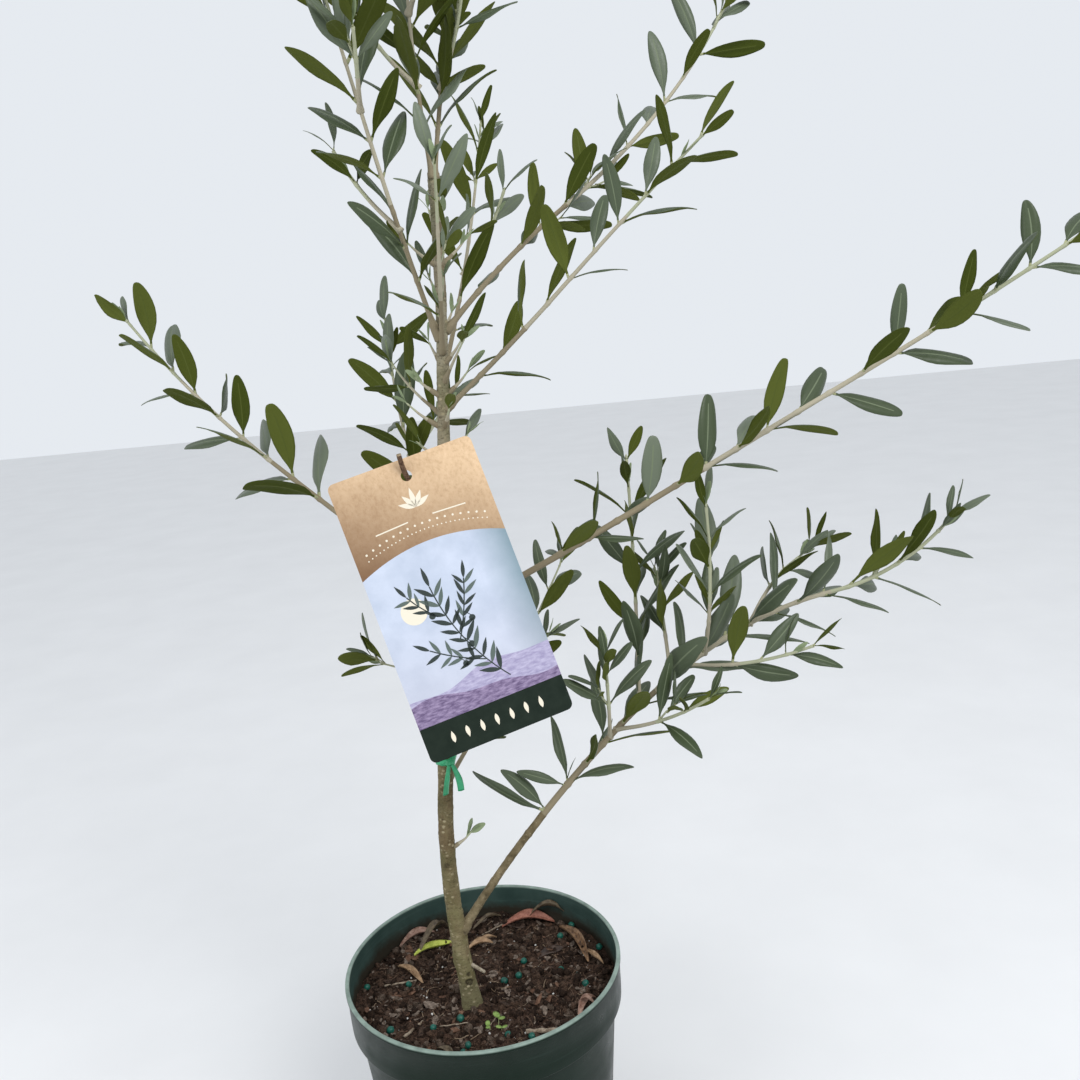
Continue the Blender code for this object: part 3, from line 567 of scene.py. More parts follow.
def seeded_side_twigs(shoot, points):
    """Short side twigs at seeded places along a shoot."""
    dice = random.Random(shoot.name + " twigs")
    twigs = []
    for index in range(shoot.seeded_twigs):
        share = (index + dice.random() * 0.5) / shoot.seeded_twigs
        at = shoot.length * blend(TWIG_PLACES, share)
        ahead = along(points, at)[1]
        side = square_to(ahead, TWIG_TURN * index + dice.uniform(-0.5, 0.5))
        out = (ahead + side).normalized()
        azimuth = math.degrees(math.atan2(out.y, out.x))
        rise = math.degrees(math.asin(out.z))
        length = dice.uniform(*TWIG_LENGTHS)
        twigs.append(Twig(at, (azimuth, azimuth), (rise, min(rise + TWIG_UPTURN, 88)), length))
    return twigs


def leaf_stations(length, spacing, bare):
    """Distances of the pairs along a stem, from past its bare stretch to just short of its tip."""
    leafy = length - bare - PAST_LAST_PAIR
    count = max(1, round(leafy / spacing))
    return [bare + leafy * (index + 1) / count for index in range(count)]


def leaf_matrix(place, ahead, side, angle, roll, length):
    """A leaf's place: its root in the stem, +Z to its tip and +Y out of its upper face."""
    reach = (ahead * math.cos(angle) + side * math.sin(angle)).normalized()
    reach = (reach + Vector((0, 0, LEAF_LIFT))).normalized()
    across = ahead.cross(side).normalized()
    across = Matrix.Rotation(roll, 3, reach) @ across
    across = (across - reach * across.dot(reach)).normalized()
    upper = reach.cross(across)
    turn = Matrix((across, upper, reach)).transposed().to_4x4()
    return Matrix.Translation(place - side * LEAF_SINK) @ turn @ Matrix.Scale(length, 4)


def leaf_draws(name, points, spacing, bare, leaf):
    """For each leaf of a stem, LEAF_TRIES seeded places to try in turn."""
    length = length_of(points)
    dice = random.Random(name)
    phase = dice.uniform(0, math.pi)
    for level, station in enumerate(leaf_stations(length, spacing, bare)):
        place, ahead = along(points, station)
        from_tip = round((length - station) / spacing)
        size = leaf * (TIP_LEAF_SIZES[from_tip] if from_tip < len(TIP_LEAF_SIZES) else 1.0)
        for hand in (0, 1):
            tries = []
            for _ in range(LEAF_TRIES):
                turn = phase + level * math.pi / 2 + hand * math.pi + dice.uniform(-LEAF_TURN, LEAF_TURN)
                angle = math.radians(dice.uniform(*(LEAF_ANGLES if from_tip else TIP_LEAF_ANGLES)))
                roll = dice.uniform(-LEAF_ROLL, LEAF_ROLL)
                stretch = dice.uniform(*LEAF_STRETCH)
                side = square_to(ahead, turn)
                tries.append(leaf_matrix(place, ahead, side, angle, roll, size * stretch))
            yield tries


def starts_clear(height, azimuth):
    """Whether no shoot starts near this place on the trunk."""
    for shoot in SHOOTS:
        apart = abs((azimuth - shoot.azimuths[0] + 180) % 360 - 180)
        if abs(height - shoot.height) < SPUR_ROOM and apart < SPUR_ROOM_ANGLE:
            return False
    return True


def spur_shoots():
    """Short spurs in opposite pairs up the leafy part of the trunk."""
    dice = random.Random("spurs")
    spurs = []
    for index in range(2 * SPUR_LEVELS):
        level = index // 2
        height = SPUR_FIRST + SPUR_RISE * level
        azimuth = SPUR_FIRST_AZIMUTH + 90 * level + 180 * (index % 2)
        while not starts_clear(height, azimuth):
            azimuth += SPUR_TURN
        azimuth += dice.uniform(-SPUR_TURN, SPUR_TURN) / 2
        length = SPUR_LENGTH * dice.uniform(*SPUR_STRETCH)
        name = f"trunk_spur_{index + 1:02d}"
        headings = (azimuth, azimuth), SPUR_RISES
        spurs.append(Shoot(name, height, *headings, length, SPUR_RADIUS, 0.0, SPUR_SPACING, SPUR_LEAF))
    return tuple(spurs)


class Space:
    """What already stands where, as surface trees, so that nothing new crosses it."""

    WIDE, THICK = LEAF_WIDTH / 2, LEAF_THICKNESS / 2
    OUTLINE = ((WIDE, 0), (0, THICK), (-WIDE, 0), (0, -THICK))
    FACES = ((0, 1, 2), (0, 2, 3), (0, 3, 4), (0, 4, 1), (5, 2, 1), (5, 3, 2), (5, 4, 3), (5, 1, 4))

    def __init__(self):
        self.limbs = []
        self.twigs = []
        self.leaves = []

    def leaf_tree(self, matrix, widened=False, outer=False):
        wide, thick = (CLEAR_WIDTH, CLEAR_THICKNESS) if widened else (1, 1)
        root = Vector((0, LEAF_ARCH * JOINED_SHARE * 2, JOINED_SHARE)) if outer else Vector()
        rim = [Vector((x * wide, y * thick + LEAF_ARCH, 0.5)) for x, y in self.OUTLINE]
        points = [matrix @ point for point in [root, *rim, Vector((0, 0, 1))]]
        return BVHTree.FromPolygons(points, self.FACES)

    def add_leaf(self, mass, matrix):
        middle = matrix @ Vector((0, LEAF_ARCH, 0.5))
        trees = (self.leaf_tree(matrix), self.leaf_tree(matrix, outer=True))
        self.leaves.append((mass, middle, matrix.median_scale, *trees))

    def takes_leaf(self, mass, matrix):
        whole = self.leaf_tree(matrix, widened=True)
        outer = self.leaf_tree(matrix, widened=True, outer=True)
        if any(whole.overlap(limb) for limb in self.limbs):
            return False
        for owner, twig in self.twigs:
            if (outer if owner == mass else whole).overlap(twig):
                return False
        middle = matrix @ Vector((0, LEAF_ARCH, 0.5))
        for owner, other_middle, length, tree, outer_tree in self.leaves:
            if (other_middle - middle).length > (length + matrix.median_scale) * 0.6:
                continue
            if owner == mass and outer.overlap(outer_tree):
                return False
            if owner != mass and whole.overlap(tree):
                return False
        return True

    def takes_twig(self, mass, tree):
        crosses_limb = any(tree.overlap(limb) for limb in self.limbs)
        return not crosses_limb and not any(tree.overlap(twig) for owner, twig in self.twigs if owner != mass)


# ---------------------------------------------------------------- meshes


def linked(name, data):
    """A new object in the scene."""
    thing = bpy.data.objects.new(name, data)
    bpy.context.scene.collection.objects.link(thing)
    return thing


class Surface:
    """A mesh that grows by parts. Each part has points, faces and, for each face, a material's slot."""

    def __init__(self):
        self.points = []
        self.faces = []
        self.slots = []
        self.count = 0

    def add(self, points, faces, slots):
        """faces hold indices into these points, and slots is one slot or one for each face."""
        self.points.append(np.asarray(points, float).reshape(-1, 3))
        self.faces += [tuple(index + self.count for index in face) for face in faces]
        self.slots += [slots] * len(faces) if isinstance(slots, int) else slots
        self.count += len(self.points[-1])

    def add_rings(self, rings, slots=0, matrix=None):
        """A closed body over rings of points, which turn anticlockwise about the way from first to last.

        A ring of one point is a pole, and other ends get a flat cap. slots is one slot, or for each band
        between two rings one slot or a list of them. A matrix stands the body inside the model's box.
        """
        bands = len(rings) - 1
        slots = [slots] * bands if isinstance(slots, int) else slots[:bands]
        around = len(rings[1])
        starts = [0, *accumulate(len(ring) for ring in rings)]
        faces, face_slots = [], []
        for band, slot in enumerate(slots):
            low, high = starts[band], starts[band + 1]
            lows, highs = len(rings[band]), len(rings[band + 1])
            for index in range(around):
                after = (index + 1) % around
                corners = (low + index % lows, low + after % lows, high + after % highs, high + index % highs)
                faces.append(tuple(dict.fromkeys(corners)))
            face_slots += [slot] * around if isinstance(slot, int) else slot
        ends = face_slots[0], face_slots[-1]
        if len(rings[0]) > 1:
            faces.append(tuple(reversed(range(around))))
            face_slots.append(ends[0])
        if len(rings[-1]) > 1:
            faces.append(tuple(range(starts[-2], starts[-1])))
            face_slots.append(ends[1])
        points = np.array([point for ring in rings for point in ring], float)
        if matrix is not None:
            world = np.array(matrix)
            points = np.clip(points @ world[:3, :3].T + world[:3, 3], BOX_LOW, BOX_HIGH)
        self.add(points, faces, face_slots)

    def make(self, name, materials, smooth=True):
        mesh = bpy.data.meshes.new(name)
        mesh.from_pydata(np.concatenate(self.points).tolist(), [], self.faces)
        for material in materials:
            mesh.materials.append(material)
        mesh.polygons.foreach_set("material_index", self.slots)
        mesh.polygons.foreach_set("use_smooth", [smooth] * len(self.faces))
        mesh.update()
        return linked(name, mesh)


def turns_round(count):
    """Angles in radians, evenly round a circle."""
    return [2 * math.pi * index / count for index in range(count)]


def circle(radius, count, x=0.0, y=0.0):
    return [(x + radius * math.cos(turn), y + radius * math.sin(turn)) for turn in turns_round(count)]


def arc(centre, radius, start, end, count):
    """Points on an arc, by angles in degrees."""
    angles = [math.radians(start + (end - start) * index / (count - 1)) for index in range(count)]
    return [(centre[0] + radius * math.cos(a), centre[1] + radius * math.sin(a)) for a in angles]


def frames_along(points):
    """(place, side, other side) for each point of a course, with no twist between them."""
    side = None
    frames = []
    for index, place in enumerate(points):
        before, after = points[max(index - 1, 0)], points[min(index + 1, len(points) - 1)]
        ahead = (after - before).normalized()
        side = side or square_to(ahead, 0)
        side = (side - ahead * side.dot(ahead)).normalized()
        frames.append((place, side, ahead.cross(side)))
    return frames


def smooth_course(points, step):
    """Evenly spaced points on a smooth curve through a course."""
    knots = [points[0], *points, points[-1]]
    curve = []
    for index in range(len(points) - 1):
        a, b, c, d = knots[index : index + 4]
        for t in (part / 6 for part in range(6)):
            bend = (2 * a - 5 * b + 4 * c - d) * t**2
            swing = (3 * b - a - 3 * c + d) * t**3
            curve.append(0.5 * (2 * b + (c - a) * t + bend + swing))
    curve.append(points[-1])
    count = max(3, round(length_of(points) / step))
    whole = length_of(curve)
    return [along(curve, whole * index / count)[0] for index in range(count + 1)]


def spaced(curve):
    """How far along an evenly spaced curve each of its points is."""
    whole = length_of(curve)
    return [whole * index / (len(curve) - 1) for index in range(len(curve))]


def add_tube(surface, points, radii, sides, slots=0, relief=None):
    """A capped round tube. Its surface stands out by relief(place, azimuth, distance along)."""
    rings = []
    done = 0.0
    before = points[0]
    for (centre, side, other), radius in zip(frames_along(points), radii):
        done += (centre - before).length
        before = centre
        ring = []
        for turn in turns_round(sides):
            out = side * math.cos(turn) + other * math.sin(turn)
            height = relief(centre + out * radius, math.atan2(out.y, out.x), done) if relief else 0.0
            ring.append(centre + out * (radius + height))
        rings.append(ring)
    surface.add_rings(rings, slots)


def leaf_outline(share, shift, fullness):
    """Half the blade's width at this share of the leaf's length, as a share of its widest half."""
    if share <= STALK_SHARE:
        return STALK_WIDTH / BLADE_WIDTH
    blade = (share - STALK_SHARE) / (1 - STALK_SHARE)
    wedge = 1 - 0.55 * math.exp(-blade / 0.07)
    full = math.sin(math.pi * blade**shift) ** (fullness * (1.28 - 0.70 * blade)) * wedge
    return max(full, STALK_WIDTH / BLADE_WIDTH * (1 - blade))


def leaf_bands(slots, shares):
    """For each band of a leaf, its slot on the stalk, and past that the slots round it."""
    upper, lower, rib, lower_rib, stalk = slots
    flank = len(BLADE_COLUMNS) // 2 - 1

    def band(over, under):
        upper_face = [upper] * flank + [over] + [upper] * flank
        return [*upper_face, lower_rib, *[lower] * flank, under, *[lower] * flank, lower_rib]

    ribbed, plain = band(rib, lower_rib), band(upper, lower)
    spans = zip(shares, shares[1:] + (1.0,))
    return [stalk if end <= STALK_SHARE else ribbed if start < RIB_ENDS else plain for start, end in spans]


def add_leaf(surface, matrix, slots, dice, shares, breadth=1.0, point=1.0):
    """A closed leaf: a ring of points at each of these shares of its length, and a point at its tip.

    slots are those of the upper face, the lower face, the rib, the lower rib and the stalk.
    """
    shift = dice.uniform(0.92, 1.20)
    fullness = dice.uniform(*BLADE_FULLNESS) * point
    width = BLADE_WIDTH / 2 * dice.uniform(0.80, 1.08) * breadth
    arch = LEAF_ARCH * dice.uniform(0.5, 1.7)
    droop = dice.uniform(-0.015, 0.05)
    bend = dice.uniform(-0.035, 0.035)
    twist = dice.uniform(-0.6, 0.6)
    fold = dice.uniform(0.20, 0.66)
    wave = dice.uniform(0.0, 0.010)
    phase = dice.uniform(0, 6.3)
    rings = []
    for share in shares:
        half = width * leaf_outline(share, shift, fullness)
        thick = BLADE_THICKNESS if share > STALK_SHARE else BLADE_THICKNESS * STALK_THICKENING
        middle_x = bend * 4 * share * (1 - share)
        middle_y = arch * 4 * share * (1 - share) - droop * share**3
        cos, sin = math.cos(twist * share), math.sin(twist * share)
        top, bottom = [], []
        for column in BLADE_COLUMNS:
            x = column * half
            lift = fold * (abs(x) - 1.5 * x * x / width)
            y = lift * (half / width) + wave * column * abs(column) * math.sin(phase + 9 * share)
            rise = RIB_RISE if abs(column) < 0.1 and STALK_SHARE < share < RIB_ENDS else 0.0
            edge = EDGE_THINNING if abs(column) == 1 else 1.0
            above, below = y + thick * (0.5 * edge - rise * 0.5), y - thick * (0.5 * edge + rise * 2.2)
            for face, height in ((top, above), (bottom, below)):
                face.append((middle_x + x * cos - height * sin, middle_y + x * sin + height * cos, share))
        rings.append(top[::-1] + bottom)
    rings.append([(0.0, -droop, 1.0)])
    surface.add_rings(rings, leaf_bands(slots, shares), matrix)


# ---------------------------------------------------------------- materials


class Nodes:
    """A material's node tree. A value is a number, a colour or another node's output."""

    def __init__(self, name, gloss=DULL):
        self.material = bpy.data.materials.new(name)
        self.material.use_nodes = True
        self.tree = self.material.node_tree
        self.shader = self.tree.nodes["Principled BSDF"]
        self.link(0.6, self.shader.inputs["Roughness"])
        self.link(gloss, self.shader.inputs["Specular IOR Level"])
        self.place = self.node("TexCoord", {}, "Object")

    def link(self, value, socket):
        if isinstance(value, bpy.types.NodeSocket):
            self.tree.links.new(value, socket)
        else:
            socket.default_value = (*value, 1.0) if socket.type == "RGBA" else value

    def node(self, kind, inputs, output=0, **settings):
        """The output of a new node, with its inputs by name or index."""
        node = self.tree.nodes.new("ShaderNode" + kind)
        for name, value in settings.items():
            setattr(node, name, value)
        for key, value in inputs.items():
            self.link(value, node.inputs[key])
        return node.outputs[output]

    def math(self, operation, first, second):
        return self.node("Math", {0: first, 1: second}, operation=operation)

    def plus(self, first, second, share=None):
        """The sum of two fields, or of one and a share of the other."""
        return self.math("ADD", first, second if share is None else self.math("MULTIPLY", second, share))

    def scaled(self, x, y, z):
        return self.node("Mapping", {"Vector": self.place, "Scale": (x, y, z)})

    def noise(self, scale, detail=3.0, rough=0.55, vector=None):
        place = vector or self.place
        return self.node("TexNoise", {"Vector": place, "Scale": scale, "Detail": detail, "Roughness": rough})

    def cells(self, scale, vector=None):
        return self.node("TexVoronoi", {"Vector": vector or self.place, "Scale": scale}, "Distance")

    def away_from(self, point):
        """The distance from a point."""
        return self.node("VectorMath", {0: self.place, 1: point}, "Value", operation="DISTANCE")

    def axis(self, name):
        return self.node("SeparateXYZ", {0: self.place}, name)

    def range(self, field, low, high, to_low=0.0, to_high=1.0):
        spans = {"From Min": low, "From Max": high, "To Min": to_low, "To Max": to_high}
        return self.node("MapRange", {"Value": field, **spans})

    def mix(self, share, first, second):
        """A mix of two colours. 6, 7 and 2 are the node's colour sockets."""
        return self.node("Mix", {0: share, 6: first, 7: second}, 2, data_type="RGBA")

    def over(self, below, above, field, low, high, at_low=0.0, at_high=1.0):
        """One colour over another, as densely as a field says: at_low where it is low, at_high where high."""
        return self.mix(self.range(field, low, high, at_low, at_high), below, above)

    def finish(self, colour, rough=None, relief=None):
        """The material with this colour. rough is (field, smoothest, roughest), and relief (field, depth)."""
        self.link(colour, self.shader.inputs["Base Color"])
        if rough:
            self.link(self.range(rough[0], 0.3, 0.7, *rough[1:]), self.shader.inputs["Roughness"])
        if relief:
            bump = self.node("Bump", {"Strength": 1.0, "Distance": relief[1], "Height": relief[0]})
            self.link(bump, self.shader.inputs["Normal"])
        return self.material


def plain_material(name, colour, rough, scale, depth, gloss=DULL):
    """A plain base colour, with a fine grain in its roughness and relief."""
    nodes = Nodes(name, gloss)
    grain = nodes.noise(scale, 4.0)
    return nodes.finish(colour, (grain, *rough), (grain, depth))


def mottled(*names, stretch=(1, 1, 1), gloss=DULL):
    """Materials by their names in MOTTLED, each of two colours in patches."""
    found = []
    for name in names:
        dark, light, rough, scale, depth = MOTTLED[name]
        nodes = Nodes(name, gloss)
        grain = nodes.noise(scale, 5.0, 0.62, nodes.scaled(*stretch))
        colour = nodes.over(dark, light, grain, 0.36, 0.66)
        found.append(nodes.finish(colour, (grain, *rough), (grain, depth)))
    return found


# (name, colour, roughness, scale of the grain, depth of the grain, gloss). The upper faces are blue-grey
# green under a thin bloom. The lower faces are a flat olive green that is painted backlight: the yellow olive
# of light shining through the leaf, painted in place of most of the underside's own silvery grey-green.
UPPER_LOOKS = ((0.34, 0.52), 900, 0.00008, SATIN)
LOWER_LOOKS = ((0.62, 0.80), 700, 0.00005)
UPPER_LEAVES = (
    ("leaf_upper_1", (0.066, 0.088, 0.048), *UPPER_LOOKS),
    ("leaf_upper_2", (0.092, 0.116, 0.072), *UPPER_LOOKS),
    ("leaf_upper_3", (0.118, 0.144, 0.096), *UPPER_LOOKS),
    ("leaf_upper_4", (0.048, 0.068, 0.030), *UPPER_LOOKS),
)
# Painted backlight: the lower faces' yellow olive is light shining through the leaf, painted into their
# colour.
BACKLIT_LOWER_LEAVES = (
    ("leaf_lower_1", (0.064, 0.080, 0.010), *LOWER_LOOKS),
    ("leaf_lower_2", (0.084, 0.102, 0.017), *LOWER_LOOKS),
    ("leaf_lower_3", (0.050, 0.066, 0.007), *LOWER_LOOKS),
)
LEAF_DETAILS = (
    ("leaf_rib", (0.150, 0.182, 0.112), (0.40, 0.55), 900, 0.00004),
    # The lower rib has the same painted backlight as the lower faces.
    ("leaf_lower_rib", (0.076, 0.094, 0.016), (0.55, 0.70), 900, 0.00004),
    ("leaf_stalk", (0.34, 0.35, 0.20), (0.45, 0.60), 900, 0.00004),
    ("leaf_dry", (0.225, 0.150, 0.075), (0.70, 0.85), 500, 0.00015),
    ("leaf_young", (0.235, 0.290, 0.165), (0.45, 0.60), 900, 0.00005),
)
STEMS = (
    ("stem_woody", (0.245, 0.206, 0.134), (0.55, 0.75), 1500, 0.00012),
    ("stem_pale", (0.400, 0.365, 0.270), (0.55, 0.75), 1500, 0.00012),
    ("stem_green", (0.385, 0.400, 0.270), (0.55, 0.75), 1500, 0.00012),
)
# Dark and light colour, (smoothest, roughest), and the scale and depth of the grain
LEAF_LITTER = ((0.45, 0.65), 420, 0.0002)
HILL_PRINT = ((0.34, 0.46), 260, 0.00002)
MOTTLED = {
    "stub_wood": ((0.165, 0.130, 0.085), (0.420, 0.370, 0.290), (0.7, 0.9), 800, 0.0003),
    "dead_wood": ((0.055, 0.030, 0.018), (0.170, 0.105, 0.065), (0.75, 0.92), 900, 0.0004),
    "cut_wood": ((0.26, 0.19, 0.12), (0.42, 0.33, 0.22), (0.7, 0.85), 1400, 0.0002),
    "stick_wood": ((0.160, 0.120, 0.085), (0.400, 0.330, 0.250), (0.7, 0.9), 700, 0.0003),
    "flake_dark": ((0.014, 0.008, 0.006), (0.090, 0.058, 0.041), (0.7, 0.9), 700, 0.0006),
    "flake_grey": ((0.070, 0.052, 0.040), (0.260, 0.205, 0.165), (0.7, 0.9), 800, 0.0006),
    "flake_red": ((0.055, 0.025, 0.016), (0.200, 0.115, 0.075), (0.6, 0.8), 700, 0.0004),
    "fibre_tan": ((0.170, 0.115, 0.072), (0.400, 0.300, 0.210), (0.6, 0.8), 900, 0.0001),
    "fibre_brown": ((0.075, 0.045, 0.030), (0.200, 0.130, 0.088), (0.6, 0.8), 900, 0.0001),
    "perlite": ((0.420, 0.400, 0.370), (0.800, 0.790, 0.760), (0.7, 0.9), 2200, 0.0002),
    "seedling_leaf": ((0.140, 0.230, 0.050), (0.250, 0.350, 0.110), (0.45, 0.60), 500, 0.0001),
    "seedling_stem": ((0.320, 0.340, 0.160), (0.420, 0.430, 0.240), (0.45, 0.60), 500, 0.0001),
    "litter_red": ((0.210, 0.075, 0.048), (0.430, 0.190, 0.135), *LEAF_LITTER),
    "litter_brown": ((0.060, 0.042, 0.026), (0.170, 0.130, 0.080), *LEAF_LITTER),
    "litter_tan": ((0.210, 0.125, 0.065), (0.460, 0.310, 0.185), *LEAF_LITTER),
    "litter_fresh": ((0.330, 0.400, 0.045), (0.560, 0.600, 0.130), *LEAF_LITTER),
    "litter_pink": ((0.190, 0.095, 0.065), (0.450, 0.300, 0.235), *LEAF_LITTER),
    "litter_husk": ((0.070, 0.035, 0.018), (0.330, 0.200, 0.110), *LEAF_LITTER),
    "litter_bark": ((0.020, 0.011, 0.008), (0.085, 0.055, 0.040), *LEAF_LITTER),
    "ink_far_hills": ((0.300, 0.270, 0.420), (0.480, 0.450, 0.600), *HILL_PRINT),
    "ink_near_hills": ((0.120, 0.085, 0.170), (0.330, 0.260, 0.400), *HILL_PRINT),
}
# Dark and light colour, and the scale of the grain. The dark colour falls in the relief's hollows, partly as
# painted shade.
PEATS = {
    "peat": ((0.0100, 0.0060, 0.0040), (0.100, 0.060, 0.042), 520),
    "crumb_dark": ((0.0090, 0.0055, 0.0040), (0.058, 0.035, 0.024), 900),
    "crumb_brown": ((0.0240, 0.0135, 0.0095), (0.155, 0.096, 0.066), 900),
    "crumb_grey": ((0.0400, 0.0280, 0.0200), (0.200, 0.145, 0.110), 900),
}


def leaf_slots(dice, upper, dry=False, young=False):
    """The slots of one leaf's faces. upper is its spray's tint, which some leaves don't keep to."""
    rib = len(UPPER_LEAVES) + len(BACKLIT_LOWER_LEAVES)
    if dry or young:
        return [rib + (3 if dry else 4)] * 5
    if dice.random() < OTHER_TINT_SHARE:
        upper = dice.randrange(len(UPPER_LEAVES))
    lower = len(UPPER_LEAVES) + dice.randrange(len(BACKLIT_LOWER_LEAVES))
    return upper, lower, rib, rib + 1, rib + 2


def on_bark(trunk, azimuth, height):
    """The place on the trunk's side at this azimuth in degrees and this height."""
    return along(trunk, height)[0] + heading((azimuth, azimuth), (0, 0), 0) * trunk_radius(height)


def bark_material(trunk):
    """Olive-brown bark below, paler and greyer above: level wrinkles, dark dots, clustered pale pores."""
    nodes = Nodes("bark")
    height = nodes.axis("Z")
    patches = nodes.noise(60, 6.0, 0.68)
    marks = nodes.noise(380, 4.0, 0.70, nodes.scaled(0.8, 0.8, 2.4))
    grain = nodes.noise(1500, 3.0, 0.6)
    low = nodes.over((0.158, 0.129, 0.062), (0.318, 0.266, 0.148), patches, 0.38, 0.62)
    middle = nodes.over((0.100, 0.082, 0.036), (0.215, 0.176, 0.092), patches, 0.38, 0.62)
    high = nodes.over((0.215, 0.190, 0.125), (0.410, 0.370, 0.275), patches, 0.36, 0.64)
    bark = nodes.over(low, middle, height, SOIL_TOP + 0.03, SOIL_TOP + 0.09)
    bark = nodes.over(bark, high, height, SOIL_TOP + 0.15, SOIL_TOP + 0.36)
    red_patches = nodes.noise(85, 4.0, 0.6, nodes.scaled(1, 1, 0.5))
    bark = nodes.over(bark, (0.125, 0.130, 0.045), nodes.noise(38, 4.0), 0.48, 0.62, 0.0, 0.45)
    bark = nodes.over(bark, (0.120, 0.068, 0.036), red_patches, 0.54, 0.66, 0.0, 0.45)
    bark = nodes.over(bark, (0.165, 0.155, 0.090), height, SOIL_TOP + 0.013, SOIL_TOP + 0.020, 0.45, 0.0)
    bark = nodes.over(bark, (0.045, 0.034, 0.015), marks, 0.34, 0.46, 0.70, 0.0)
    bark = nodes.over(bark, (0.048, 0.036, 0.020), nodes.cells(520), 0.10, 0.22, 0.55, 0.0)
    for azimuth, at, inner, outer, depth in SCARS:
        away = nodes.plus(nodes.away_from(on_bark(trunk, azimuth, at)), nodes.noise(450, 3.0), 0.0012)
        ring = nodes.range(away, outer, outer + 0.0009, depth, 0.0)
        heart = nodes.range(away, inner - 0.0004, inner + 0.0004)
        bark = nodes.mix(nodes.math("MULTIPLY", ring, heart), bark, (0.022, 0.016, 0.009))
    pores = nodes.range(nodes.cells(420, nodes.scaled(0.7, 0.7, 1.0)), 0.18, 0.34, 0.85, 0.0)
    clustered = nodes.math("MULTIPLY", pores, nodes.range(nodes.noise(70, 3.0), 0.42, 0.54))
    bark = nodes.mix(clustered, bark, (0.400, 0.345, 0.215))
    bark = nodes.over(bark, (0.300, 0.255, 0.160), grain, 0.42, 0.72, 0.0, 0.25)
    return nodes.finish(bark, (patches, 0.62, 0.84), (nodes.plus(marks, grain, 0.5), 0.0007))


def bough_material():
    """Young bark: olive-tan with fine level marks and pale dots."""
    nodes = Nodes("young_bark")
    patches = nodes.noise(110, 5.0, 0.65)
    marks = nodes.noise(360, 4.0, 0.62)
    bark = nodes.over((0.112, 0.087, 0.045), (0.238, 0.190, 0.112), patches, 0.36, 0.64)
    bark = nodes.over(bark, (0.045, 0.034, 0.018), marks, 0.33, 0.46, 0.60, 0.0)
    bark = nodes.over(bark, (0.380, 0.335, 0.220), nodes.cells(560), 0.09, 0.20, 0.60, 0.0)
    return nodes.finish(bark, (patches, 0.58, 0.78), (nodes.plus(marks, nodes.noise(1500, 3.0)), 0.0005))


def lip_highlight_and_wear(nodes, height, colour):
    """The colour, with the pot's topmost millimetre painted pale: partly a painted highlight along the lip,
    partly worn plastic.
    """
    ring = nodes.range(height, POT_HEIGHT - 0.0012, POT_HEIGHT - 0.0004)
    highlight_and_wear = nodes.math("MULTIPLY", ring, nodes.range(nodes.noise(120, 4.0), 0.30, 0.60, 0.50, 0.85))
    return nodes.mix(highlight_and_wear, colour, (0.300, 0.385, 0.335))


def pot_material():
    """Dark blue-green moulded plastic: faint dust, fine scratches, and a pale lip that is partly painted
    highlight and partly wear.
    """
    nodes = Nodes("pot_plastic", POT_GLOSS)
    scratches = nodes.noise(90, 2.0, 0.5, nodes.scaled(0.25, 0.25, 7.0))
    clouds = nodes.noise(22, 5.0, 0.6)
    plastic = nodes.over((0.0060, 0.0140, 0.0090), (0.0100, 0.0205, 0.0145), clouds, 0.35, 0.65)
    plastic = nodes.over(plastic, (0.075, 0.088, 0.068), nodes.noise(700, 4.0, 0.7), 0.62, 0.80, 0.0, 0.12)
    plastic = nodes.over(plastic, (0.040, 0.070, 0.058), scratches, 0.62, 0.76, 0.0, 0.16)
    relief = nodes.plus(nodes.noise(1400, 2.0), scratches, 0.4)
    # The lip painted pale: partly painted highlight, partly wear.
    colour = lip_highlight_and_wear(nodes, nodes.axis("Z"), plastic)
    return nodes.finish(colour, (nodes.noise(60, 4.0), 0.26, 0.44), (relief, 0.00007))


def pot_inside_material():
    """The inner wall: lighter, with scuffs above and a dirty, damp band at the soil."""
    nodes = Nodes("pot_inside", POT_GLOSS)
    height = nodes.axis("Z")
    streaks = nodes.noise(110, 3.0, 0.6, nodes.scaled(0.2, 0.2, 5.0))
    dirt = nodes.plus(height, nodes.noise(75, 5.0, 0.7), -0.014)
    wall = nodes.over((0.030, 0.056, 0.049), (0.047, 0.081, 0.071), nodes.noise(45, 5.0, 0.6), 0.35, 0.65)
    wall = nodes.over(wall, (0.075, 0.120, 0.105), streaks, 0.52, 0.70, 0.0, 0.30)
    wall = nodes.over(wall, (0.028, 0.021, 0.014), dirt, SOIL_TOP - 0.0045, SOIL_TOP + 0.0015, 0.92, 0.0)
    # The lip painted pale: partly painted highlight, partly wear.
    colour = lip_highlight_and_wear(nodes, height, wall)
    return nodes.finish(colour, (nodes.noise(70, 4.0), 0.38, 0.62), (nodes.noise(1200, 3.0), 0.00008))


